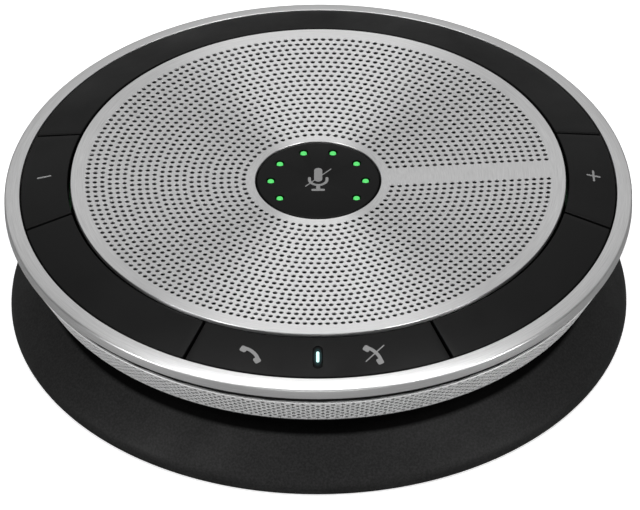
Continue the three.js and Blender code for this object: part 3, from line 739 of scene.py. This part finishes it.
def perforated_band():
    """The band is laid out as a flat ring, whose radius runs up the band's slope."""
    low_radius = BAND.inner + BAND_WALL
    climb = BAND.outer - low_radius
    slope = hypot(climb, BAND.top - BAND.base)

    def lifted(x, y, depth):
        along = hypot(x, y) - LAYOUT_INNER
        share = along / slope
        rolled = max(0, BAND_EDGE - along, along - (slope - BAND_EDGE))
        radius = low_radius + climb * share - depth - (rolled if depth == 0 else 0)
        height = BAND.base + (BAND.top - BAND.base) * share
        return *polar(radius, atan2(y, x)), height

    holes, centres = [circle(0, 0, LAYOUT_INNER, WIDE)], []
    first_row = (slope - BAND_PITCH * (BAND_ROWS - 1)) / 2
    for row in range(BAND_ROWS):
        along = first_row + BAND_PITCH * row
        radius = low_radius + climb * along / slope
        for k in range(BAND_HOLES):
            facing = tau * (k + row % 2 / 2) / BAND_HOLES
            edge = circle(0, 0, BAND_HOLE_RADIUS, BAND_HOLE_SIDES)
            holes.append([polar(LAYOUT_INNER + along + x, facing + y / radius) for x, y in edge])
            centres.append(polar(LAYOUT_INNER + along, facing))
    pull = narrowed(centres, BAND_HOLE_RADIUS, BAND_HOLE_TAPER)

    def front(x, y):
        return lifted(x, y, 0)

    def back(x, y):
        pulled = pull(x, y)
        if pulled is None:
            return lifted(x, y, BAND_WALL)
        return lifted(*pulled, BAND_HOLE_DEPTH)

    creases = [circle(0, 0, LAYOUT_INNER + along, WIDE) for along in (BAND_EDGE, slope - BAND_EDGE)]
    outlines = [circle(0, 0, LAYOUT_INNER + slope, WIDE)]
    return plate("perforated_band", outlines, front, back, holes, creases)


show(perforated_grille(), "grille_metal", "top_grille")
show(perforated_band(), "band_metal", "side_band")

cloth_section = ring_section(CLOTH.inner, CLOTH.outer, CLOTH.base, CLOTH.top, 0.1, steps=2)
cloth_piece = turned("stretched_cloth", cloth_section)
show(cloth_piece, "acoustic_cloth", "grille_cloth")


# ---- Rim ----

RIM_FALL = 0.77  # the rim's top face falls outwards


def rim():
    corners = [
        (RIM.inner, RIM.base, 0.1),
        (RIM.outer, RIM.base, 0.28),
        (RIM.outer, RIM.top - RIM_FALL, 0.5),
        (RIM.inner, RIM.top, 0.14),
    ]
    return turned("brushed_rim", rounded(corners))


show(rim(), "rim_metal", "rim_ring")


# ---- Key ring ----

KEY_WALL = 1.7  # height of a key's outer wall
KEY_EDGE = 0.22
KEY_ROUNDING = 0.1  # of the edges that don't show
BLANK_LEG = 1.5
KEY_TRIM = 0.08  # taken off each end, for a wider gap between keys
KEY_LOW = KEY.base + KEY_WALL  # top of a key at its outer wall


def key_corners(leg_base=None):
    """A key's section: its top rises towards the grille. A blank cover also has a leg."""
    foot = [(KEY.inner, KEY.base)]
    if leg_base is not None:
        leg = KEY.inner + BLANK_LEG
        foot = [(KEY.inner, leg_base), (leg, leg_base), (leg, KEY.base)]
    foot.append((KEY.outer, KEY.base))
    face = [(KEY.outer, KEY_LOW, KEY_EDGE), (KEY.inner, KEY.top, KEY_EDGE)]
    return [(r, z, KEY_ROUNDING) for r, z in foot] + face


def key_height(radius):
    """Height of the keys' sloping top at a radius."""
    share = (radius - KEY.inner) / (KEY.outer - KEY.inner)
    return KEY.top + (KEY_LOW - KEY.top) * share


def key_piece(name, node, leg=False):
    ring = Ring(node)
    trim = KEY_TRIM / KEY.outer
    corners = key_corners(ring.base if leg else None)
    return segment(name, corners, ring.start + trim, ring.end - trim, KEY_EDGE)


def window_outline(margin):
    width, length = WINDOW_WIDTH + 2 * margin, WINDOW_LENGTH + 2 * margin
    return box_outline(WINDOW_X, WINDOW_Y, width, length, width / 2 - ROUND_END)


def call_key():
    opening = prism("opening", window_outline(WINDOW_GAP), KEY.base - BEYOND, KEY.top + BEYOND)
    return combined(key_piece("call_key_cap", "call_rocker"), "DIFFERENCE", [opening])


def laid_on(height_at, lift):
    """A place for a layout point: on a surface whose height depends on the radius, or above it."""
    return lambda x, y: (x, y, height_at(hypot(x, y)) + lift)


def window_lens():
    """A dark lens that follows the key's slope, just below its surface."""
    top = laid_on(key_height, -LENS_SINK)
    return plate("status_lens", [window_outline(0)], top, lambda x, y: (x, y, KEY.base))


def window_glow():
    rounding = GLOW_WIDTH / 2 - ROUND_END
    outline = box_outline(WINDOW_X, WINDOW_Y + GLOW_SHIFT, GLOW_WIDTH, GLOW_LENGTH, rounding)
    top, bottom = laid_on(key_height, -GLOW_SINK), laid_on(key_height, -GLOW_BASE)
    return plate("status_light", [outline], top, bottom)


for key in ("volume_up", "volume_down"):
    show(key_piece(key + "_cap", key + "_key"), "key_plastic", key + "_key", body=key)
show(call_key(), "key_plastic", "call_rocker", body="call_key")
show(window_lens(), "window_plastic", "status_window", body="call_key")
for cover in ("back_cover", "left_cover", "right_cover"):
    show(key_piece(cover, cover + "_arc", leg=True), "key_plastic", cover + "_arc")

glow_piece = window_glow()
glow_piece.data.materials.append(LOOKS["status_glow"])
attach(glow_piece, "call_key")


# ---- Mute button ----

MUTE_SINK = 0.03  # button's face below its printed symbol
MUTE_EDGE = 0.35
MUTE_WALL = 1.05
MUTE_FACE = 1.1  # thickness
MUTE_SIDE = 2.4  # height of the button's rim
MUTE_TURN = 160  # steps of a full turn
STEM_RADIUS = 2.0
LIGHT_STEPS = 10
DARK_STEPS = (7, 8)  # the two places in front that have no light
PEG_RADIUS = 0.6
PEG_TURN = 24
PEG_BASE = 0.4  # above the guide's underside
PEG_DOME = 0.18
DOME_STEPS = 5
LIGHT_CIRCLE = (GUIDE.inner + GUIDE.outer) / 2
GUIDE_THICKNESS = 1.2
GUIDE_TURN = 120


def light_spots():
    for step in range(LIGHT_STEPS):
        if step not in DARK_STEPS:
            yield polar(LIGHT_CIRCLE, tau * step / LIGHT_STEPS)


def mute_cap():
    face = MUTE.top - MUTE_SINK
    underside = MUTE.top - MUTE_FACE
    side_base = MUTE.top - MUTE_SIDE
    inner = MUTE.outer - MUTE_WALL
    corners = [
        (STEM_RADIUS, MUTE.base, 0.2),
        (STEM_RADIUS, underside, 0.2),
        (inner, underside, 0.2),
        (inner, side_base, 0.1),
        (MUTE.outer, side_base, 0.1),
        (MUTE.outer, face, MUTE_EDGE),
        (AXIS, face, 0),
        (AXIS, MUTE.base, 0),
    ]
    holes = []
    for x, y in light_spots():
        place = at(x, y, underside - BEYOND)
        holes.append(rod("hole", PEG_RADIUS + FIT, MUTE_FACE + 2 * BEYOND, place, PEG_TURN))
    cap = turned("mute_cap", rounded(corners, steps=4), MUTE_TURN)
    return combined(cap, "DIFFERENCE", holes)


def light_guide():
    """A clear ring with a round-topped peg for each light."""
    low, top = GUIDE.base, GUIDE.base + GUIDE_THICKNESS
    section = ring_section(GUIDE.inner, GUIDE.outer, low, top, 0.15, steps=3)
    outline = [(AXIS, low + PEG_BASE), (PEG_RADIUS, low + PEG_BASE)]
    for k in range(DOME_STEPS + 1):
        turn = pi / 2 * k / DOME_STEPS
        height = GUIDE.top - PEG_DOME + PEG_DOME * sin(turn)
        outline.append((max(AXIS, PEG_RADIUS * cos(turn)), height))
    pegs = []
    for x, y in light_spots():
        pegs.append(moved(turned("peg", outline, PEG_TURN), at(x, y, 0)))
    return combined(turned("light_guide", section, GUIDE_TURN), "UNION", pegs)


show(mute_cap(), "button_plastic", "mute_button", body="mute")
show(light_guide(), "green_light", "mute_light_guide", body="mute")


# ---- Printed symbols ----

PRINT = 0.03  # how far the ink reaches above and below the surface
STROKE = 0.4
SLASH = 0.22
HANDSET_SCALE = 0.92
HANDSET_TURN = radians(-46.4)
MUTE_SYMBOL_Y = 0.12
PLUS_REACH = 1.17
PLUS_WIDE_REACH = 1.48
UP_RADIUS, UP_ANGLE = 52.7, radians(3.45)
DOWN_RADIUS, DOWN_ANGLE = 52.5, radians(176.5)
ANSWER_PLACE = (-12.85, -51.4)
END_PLACE = (10.42, -51.7)


def microphone_symbol():
    """A microphone in its cradle on a foot, with a slash through it."""
    reach, stroke, low = 1.68, 0.56, 0.05  # the cradle's
    capsule = box_outline(0, 1.55, 1.56, 4.2, 0.77)
    cradle = shifted(bow(reach, stroke, pi + 0.02, tau - 0.02), 0, low)
    arms = [bar((sx * reach, low), (sx * reach, low + 0.5), stroke) for sx in (-1, 1)]
    stem = box_outline(0, -2.2, 0.75, 1.4, 0.05)
    foot = box_outline(0, -3.12, 2.6, 0.62, 0.28)
    return [capsule, cradle, *arms, stem, foot, bar((-2.4, -2.0), (2.4, 3.3), SLASH)]


def handset_symbol():
    """A handset seen from the side, its back towards the upper right."""
    back_radius = 4.6
    crown = 0.9  # height of the back's middle line above the symbol's centre
    pad_reach = 2.0
    spread = asin(pad_reach / back_radius)
    back = bow(back_radius, 0.74, pi / 2 - spread, pi / 2 + spread)
    shapes = [shifted(back, 0, crown - back_radius)]
    for sx in (-1, 1):
        shapes.append(box_outline(sx * pad_reach, 0.14, 1.42, 1.34, 0.36, -sx * radians(13)))
    lying_down = [turned_outline(shape, HANDSET_TURN) for shape in shapes]
    return [[(x * HANDSET_SCALE, y * HANDSET_SCALE) for x, y in shape] for shape in lying_down]


def show_symbol(name, body, outlines, place, turn=0, height_at=key_height):
    """A flat symbol printed on a surface: outlines about a place, turned by an angle."""
    laid = [shifted(turned_outline(outline, turn), *place) for outline in outlines]
    piece = plate(name, laid, laid_on(height_at, PRINT), laid_on(height_at, -PRINT))
    show(piece, "icon_ink", body=body)


across = bar((-PLUS_REACH, 0), (PLUS_REACH, 0), STROKE)
along = bar((0, -PLUS_WIDE_REACH), (0, PLUS_WIDE_REACH), STROKE)
end_slash = bar((-1.29, -1.44), (2.04, 2.31), SLASH)
mute_face = MUTE.top - MUTE_SINK
show_symbol("mute_symbol", "mute", microphone_symbol(), (0, MUTE_SYMBOL_Y), 0, lambda reach: mute_face)
show_symbol("volume_up_symbol", "volume_up", [across, along], polar(UP_RADIUS, UP_ANGLE), UP_ANGLE)
show_symbol("volume_down_symbol", "volume_down", [across], polar(DOWN_RADIUS, DOWN_ANGLE), DOWN_ANGLE)
show_symbol("answer_symbol", "call_key", handset_symbol(), ANSWER_PLACE)
show_symbol("end_symbol", "call_key", [*handset_symbol(), end_slash], END_PLACE)


# ---- Skirt ----

SKIRT_WALL = 2.4
WAIST = 50.0
SKIRT_LIP = 2.3
SKIRT_FLANGE = 1.6
NOTCH_WIDTH = 6.0
NOTCH_HEIGHT = 5.2
NOTCH_STEPS = 12


def rubber_skirt():
    """A flared ring, with an arched notch at the back for the lead."""
    lip = SKIRT.base + SKIRT_LIP
    flange = SKIRT.top - SKIRT_FLANGE
    corners = [
        (SKIRT.inner, flange, 0.2),
        (WAIST - SKIRT_WALL, flange, 0.6),
        (SKIRT.outer - SKIRT_WALL, lip, 0.8),
        (SKIRT.outer - SKIRT_WALL, SKIRT.base, 0.3),
        (SKIRT.outer, SKIRT.base, 0.4),
        (SKIRT.outer, lip, 4.0),
        (WAIST, SKIRT.top, 0.8),
        (SKIRT.inner, SKIRT.top, 0.2),
    ]
    radius = NOTCH_WIDTH / 2
    arch = [(-radius, -BEYOND), (radius, -BEYOND)]
    for k in range(NOTCH_STEPS + 1):
        angle = pi * k / NOTCH_STEPS
        arch.append((radius * cos(angle), NOTCH_HEIGHT - radius + radius * sin(angle)))
    rings = [[(x, y, z) for x, z in arch] for y in (WAIST, SKIRT.outer + BEYOND)]
    notch = swept("notch", rings)
    return combined(turned("rubber_skirt", rounded(corners)), "DIFFERENCE", [notch])


show(rubber_skirt(), "skirt_rubber", "skirt")


# ---- Lower housing, spool, gland, base and foot ----

HUB_WALL = 1.4
SHELF = 1.4
HOUSING_WALL = 1.8
GLAND_NECK = 2.3
GLAND_FLANGE = 3.0
GLAND_FLANGE_THICKNESS = 1.3
GLAND_ANGLE = 90
GLAND_TURN = 48
CABLE_RADIUS = 1.6
BORE_INSIDE = 3.0  # how far inside the hub the lead's bore starts
BORE_LENGTH = 8.0
MIC_ANGLES = (30, 150, 270)
SOUND_BORE = 0.8
SOUND_TURN = 16


def lying(name, radius, start, length, angle, height, sides=SMALL):
    """A cylinder that points outwards at an angle in degrees, for a hole or a pin."""
    place = Matrix.Rotation(radians(angle), 4, "Z") @ at(start, 0, height)
    return rod(name, radius, length, place @ Matrix.Rotation(pi / 2, 4, "Y"), sides)


def gland_bore():
    start = HOUSING.inner - BORE_INSIDE
    return lying("bore", GLAND_NECK + FIT, start, BORE_LENGTH, GLAND_ANGLE, GLAND_HEIGHT)


def lower_housing():
    """The hub, a shelf out to the waist, and the wall behind the side band."""
    hub = HOUSING.inner + HUB_WALL
    shelf_base = SKIRT.top + FIT
    seat = BAND.base - FIT
    seat_radius = BAND.inner - FIT
    inner_seat = seat_radius - HOUSING_WALL
    corners = [
        (HOUSING.inner, HOUSING.base, 0.2),
        (hub, HOUSING.base, 0.2),
        (hub, shelf_base, 0.3),
        (WAIST, shelf_base, 0.25),
        (BAND.inner + BAND_WALL, seat, 0.1),
        (seat_radius, seat, 0.05),
        (HOUSING.outer, HOUSING.top, 0.2),
        (HOUSING.outer - HOUSING_WALL, HOUSING.top, 0.2),
        (inner_seat, BAND.base, 0.5),
        (inner_seat - SHELF, shelf_base + SHELF, 0.5),
        (HOUSING.inner, shelf_base + SHELF, 0.2),
    ]
    holes = [gland_bore()]
    for angle in MIC_ANGLES:
        start = hub + BEYOND
        holes.append(lying("sound", SOUND_BORE, start, HOUSING.outer, angle, MIC_HEIGHT, SOUND_TURN))
    return combined(turned("lower_housing_shell", rounded(corners)), "DIFFERENCE", holes)


LUG_REACH = 5.0
LUG_WIDTH = 9.0
LUG_THICKNESS = 1.2
LUG_ROUNDING = 1.2
LUG_BACK = 0.4  # the lug's middle is this much nearer to the sleeve, to sink its root in
LUG_ROOT = 0.7


def cable_spool():
    """A sleeve that the lead is wound on, with four lugs below that hold the turns."""
    wall = SPOOL.outer - LUG_REACH
    sleeve = turned("wound_spool", ring_section(SPOOL.inner, wall, SPOOL.base, SPOOL.top, 0.3))
    centre = wall + LUG_REACH / 2 - LUG_BACK
    outline = box_outline(centre, 0, LUG_REACH + LUG_ROOT, LUG_WIDTH, LUG_ROUNDING)
    lugs = []
    for angle in (45, 135, 225, 315):
        lug = prism("lug", outline, SPOOL.base, SPOOL.base + LUG_THICKNESS)
        lugs.append(moved(lug, Matrix.Rotation(radians(angle), 4, "Z")))
    return combined(combined(sleeve, "UNION", lugs), "DIFFERENCE", [gland_bore()])


def gland():
    """The lead's rubber inlet: a flange inside the hub and a tapered nose outside it."""
    inner_end = -GLAND_FLANGE_THICKNESS - FIT
    outer_end = GLAND_HIGH.y - HOUSING.inner
    corners = [
        (CABLE_RADIUS, inner_end, 0.15),
        (GLAND_FLANGE, inner_end, 0.3),
        (GLAND_FLANGE, -FIT, 0.2),
        (GLAND_NECK, -FIT, 0.1),
        (GLAND_NECK, outer_end - GLAND_FLANGE_THICKNESS, 0.3),
        (CABLE_RADIUS + FIT, outer_end, 0.05),
        (CABLE_RADIUS, outer_end, 0.05),
    ]
    lie = at(0, HOUSING.inner, GLAND_HEIGHT) @ Matrix.Rotation(-pi / 2, 4, "X")
    return moved(turned("gland_grommet", rounded(corners), GLAND_TURN), lie)


BASE_THICKNESS = 2.4
STANDOFF_RADIUS = 2.4
BASE_HEAD = 2.1
BASE_SHANK = 1.0
BASE_POCKET = 1.4
BOARD_SHANK = 0.8
BOARD_SCREW_DEPTH = 2.6
BOARD_HOLE_TURN = 20


def base_plate():
    """A disc with a groove for the foot, standoffs for the board, and pockets for screw heads."""
    top = BASE.base + BASE_THICKNESS
    groove = FOOT.top + FIT
    corners = [
        (AXIS, BASE.base, 0),
        (FOOT.inner - FIT, BASE.base, 0.25),
        (FOOT.inner - FIT, groove, 0.15),
        (FOOT.outer + FIT, groove, 0.15),
        (FOOT.outer + FIT, BASE.base, 0.25),
        (BASE.outer, BASE.base, 0.5),
        (BASE.outer, top, 0.3),
        (AXIS, top, 0),
    ]
    pins, holes = [], []
    for i in (1, 2, 3):
        screw = middle(f"board_screw_{i}")
        pin = at(screw.x, screw.y, top - BEYOND)
        pins.append(rod("standoff", STANDOFF_RADIUS, BASE.top - top + BEYOND, pin))
        hole = at(screw.x, screw.y, BASE.top - BOARD_SCREW_DEPTH)
        holes.append(rod("hole", BOARD_SHANK + FIT, 2 * BOARD_SCREW_DEPTH, hole, BOARD_HOLE_TURN))
    for i in (1, 2, 3, 4):
        screw = middle(f"base_screw_{i}")
        hole = at(screw.x, screw.y, BASE.base - BEYOND)
        holes.append(rod("pocket", BASE_HEAD + FIT, BASE_POCKET + BEYOND, hole))
        holes.append(rod("shank", BASE_SHANK + FIT, 2 * top + BEYOND, hole))
    disc = turned("moulded_base", rounded(corners))
    return combined(combined(disc, "UNION", pins), "DIFFERENCE", holes)


FOOT_GROOVES = 3
FOOT_GROOVE_WIDTH = 0.7
FOOT_GROOVE_DEPTH = 0.3


def foot():
    """A rubber ring with round grooves in the face that stands on the table."""
    corners = [(FOOT.inner, FOOT.base, 0.2)]
    low, high = FOOT.base, FOOT_GROOVE_DEPTH
    for k in range(1, FOOT_GROOVES + 1):
        centre = FOOT.inner + (FOOT.outer - FOOT.inner) * k / (FOOT_GROOVES + 1)
        for side, height in ((-1, low), (-1, high), (1, high), (1, low)):
            corners.append((centre + side * FOOT_GROOVE_WIDTH / 2, height, 0.08))
    corners += [(FOOT.outer, FOOT.base, 0.2), (FOOT.outer, FOOT.top, 0.2), (FOOT.inner, FOOT.top, 0.2)]
    return turned("grooved_foot", rounded(corners, steps=3))


show(lower_housing(), "housing_plastic", "lower_housing")
show(cable_spool(), "housing_plastic", "cable_spool")
show(gland(), "skirt_rubber", "cable_gland")
show(base_plate(), "housing_plastic", "base_plate")
show(foot(), "foot_rubber", "foot_ring")


# ---- The loudspeaker's flexible rings ----

SURROUND_THICKNESS = 0.4
GLUED_OUTSIDE = 2.0  # flat edge on the basket
GLUED_INSIDE = 1.0  # flat edge on the cone
ROLL_STEPS = 16
SPIDER_THICKNESS = 0.35
SPIDER_WAVES = 2
WAVE_STEPS = 12
FLEX_SECTORS = 12  # a ring that flexes is in sectors, since a piece bends along one line
SECTOR_STEPS = 8
SLIT = 0.02  # between sectors


def surround_outline():
    low, inner, outer = SURROUND.base, SURROUND.inner, SURROUND.outer
    centre = (inner + GLUED_INSIDE + outer - GLUED_OUTSIDE) / 2
    roll = centre - inner - GLUED_INSIDE
    hollow = roll - SURROUND_THICKNESS
    foot_angle = asin(SURROUND_THICKNESS / roll)
    under, over = [], []
    for k in range(ROLL_STEPS + 1):
        angle = pi * k / ROLL_STEPS
        under.append((centre - hollow * cos(angle), low + hollow * sin(angle)))
        angle = foot_angle + (pi - 2 * foot_angle) * k / ROLL_STEPS
        over.append((centre + roll * cos(angle), low + roll * sin(angle)))
    flat = low + SURROUND_THICKNESS
    return [(inner, low), *under, (outer, low), (outer, flat), *over, (inner, flat)]


def spider_outline():
    rise = (SPIDER.top - SPIDER.base - SPIDER_THICKNESS) / 2
    wave = []
    for k in range(SPIDER_WAVES * WAVE_STEPS + 1):
        share = k / (SPIDER_WAVES * WAVE_STEPS)
        height = SPIDER.base + rise * (1 + sin(share * SPIDER_WAVES * tau))
        wave.append((SPIDER.inner + (SPIDER.outer - SPIDER.inner) * share, height))
    return wave + [(r, z + SPIDER_THICKNESS) for r, z in reversed(wave)]


def show_flexing(name, outline, still, moving, slot, node):
    """A ring made of sectors round Z, each baked in place and given its look, with the CAD node that it
    stands for hidden.
    """
    step = tau / FLEX_SECTORS
    half = (step - SLIT / still) / 2
    for k in range(FLEX_SECTORS):
        facing = step * (k + 0.5)
        turns = [facing + half * (2 * i / SECTOR_STEPS - 1) for i in range(SECTOR_STEPS + 1)]
        piece = swept(f"{name}_{k + 1}", [at_angle(outline, a) for a in turns])
        start, end = (Vector((cos(facing), sin(facing), 0)) * radius * MM for radius in (still, moving))
        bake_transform(piece)
        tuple(start)
        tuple(end)
        dress(piece, slot, node)


REACH = cos(pi / FLEX_SECTORS)  # share of a radius that a sector's ends reach along its middle
still, moving = (SURROUND.outer - GLUED_OUTSIDE) * REACH, SURROUND.inner + GLUED_INSIDE
section = surround_outline()
show_flexing("rubber_surround", section, still, moving, "foot_rubber", "speaker_surround")
still, moving = SPIDER.outer * REACH, SPIDER.inner
show_flexing("woven_spider", spider_outline(), still, moving, "spider_fabric", "speaker_spider")


# ---- Pieces that keep their CAD shape ----

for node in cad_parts.values():
    if not node.hide_render:
        for place in node.material_slots:
            place.material = LOOKS[place.material.name]


# ---- Floor, light and camera ----

FLOOR_SIZE = 6.0
FLOOR_SEEN = 0.9  # how pale the floor is to the camera
FLOOR_REFLECTED = 0.3  # and how pale it is in reflections
FLOOR_FILL = 0.6


def floor_look():
    """A pale floor, with a little light of its own so that only contact shadows show on it."""
    plain = {SPECULAR: 0.0, "Emission Color": (1, 1, 1, 1)}
    look, tree, shader = plain_look("floor", grey(FLOOR_SEEN), 0.9, plain)
    seen = add(tree, "LightPath").outputs["Is Camera Ray"]
    link(tree, shader, tinted(tree, seen, grey(FLOOR_REFLECTED), grey(FLOOR_SEEN)))
    tree.links.new(ranged(tree, seen, 0.0, FLOOR_FILL, 0.0, 1.0), shader.inputs["Emission Strength"])
    return look


def floor():
    half = FLOOR_SIZE / 2
    corners = [(sx * half, sy * half, 0) for sx, sy in SQUARE]
    mesh = bpy.data.meshes.new("floor")
    mesh.from_pydata(corners, [], [(0, 1, 2, 3)])
    mesh.materials.append(floor_look())
    shown("floor", mesh)


def softbox(name, position, size, radiance):
    """A rectangular light that faces the object, as bright as a surface of that radiance."""
    light = bpy.data.lights.new(name, "AREA")
    light.shape = "RECTANGLE"
    light.size, light.size_y = size
    light.energy = radiance * pi * size[0] * size[1]
    lamp = shown(name, light)
    lamp.location = position
    lamp.rotation_mode = "QUATERNION"
    lamp.rotation_quaternion = (-Vector(position)).to_track_quat("-Z", "Y")
    lamp.visible_camera = False


LIGHT_DISTANCE = 1.2


def on_dome(azimuth, elevation):
    """A light's place; azimuth 0 is +X and 90 is +Y, in degrees."""
    a, e = radians(azimuth), radians(elevation)
    level = LIGHT_DISTANCE * cos(e)
    return level * cos(a), level * sin(a), LIGHT_DISTANCE * sin(e)


FRONT_LIGHT = 0.12  # radiance of the room in front of the object
SIDE_LIGHT = 0.02  # to either side of it
BACK_LIGHT = 0.64  # and behind it


def studio():
    """A room that is dark at the sides and bright behind, an overhead softbox, and front lights."""
    world = bpy.data.worlds.new("studio")
    scene.world = world
    world.use_nodes = True
    tree = world.node_tree
    back = tree.nodes["Background"]
    back.inputs[0].default_value = (1, 1, 1, 1)
    heading = add(tree, "SeparateXYZ", {0: add(tree, "TexCoord").outputs["Generated"]}).outputs
    front = ranged(tree, heading[1], FRONT_LIGHT, SIDE_LIGHT, -0.6, -0.45)
    behind = ranged(tree, heading[1], 0.0, BACK_LIGHT, 0.0, 0.75)
    raised = ranged(tree, heading[2], 0.1, 1.0, 0.1, 0.38)
    straight = ranged(tree, heading[1], 0.0, 0.8, 0.88, 0.97)
    above = reckon(tree, "Math", "MAXIMUM", raised, straight)
    room = reckon(tree, "Math", "MULTIPLY_ADD", behind, above, front)
    tree.links.new(room, back.inputs[1])
    softbox("overhead", (0, 0.03, 1.1), (0.9, 0.5), 4.2)
    softbox("front_low", on_dome(270, 8), (0.7, 0.2), 4.0)
    for name, azimuth in (("left", 210), ("right", 330)):
        softbox(name + "_strip", on_dome(azimuth, 15), (0.22, 0.5), 11.0)
    for name, azimuth in (("left", 225), ("right", 315)):
        softbox(name + "_top", on_dome(azimuth, 47), (0.3, 0.3), 9.0)


VIEW_ELEVATION = radians(38.205)
VIEW_ROLL = -0.00605
VIEW_TURN = radians(0.3)  # the view is from slightly right of the front
VIEW_DISTANCE = 3.87
VIEW_TARGET = Vector((0.26, 0, 11.8)) * MM
LENS = 1136.8
SENSOR = 36.0
CLIP_END = 50


def camera():
    data = bpy.data.cameras.new("view")
    data.lens = LENS
    data.sensor_width = SENSOR
    data.clip_end = CLIP_END
    eye = shown("view", data)
    forward = Vector((0, cos(VIEW_ELEVATION), -sin(VIEW_ELEVATION)))
    level = Vector((1, 0, 0))
    upward = level.cross(forward)
    right = level * cos(VIEW_ROLL) + upward * sin(VIEW_ROLL)
    up = upward * cos(VIEW_ROLL) - level * sin(VIEW_ROLL)
    turn = Matrix((right, up, -forward)).transposed().to_4x4()
    place = Matrix.Translation(VIEW_TARGET - forward * VIEW_DISTANCE) @ turn
    eye.matrix_world = Matrix.Rotation(VIEW_TURN, 4, "Z") @ place
    scene.camera = eye


floor()
studio()
camera()
scene.view_settings.view_transform = "Standard"
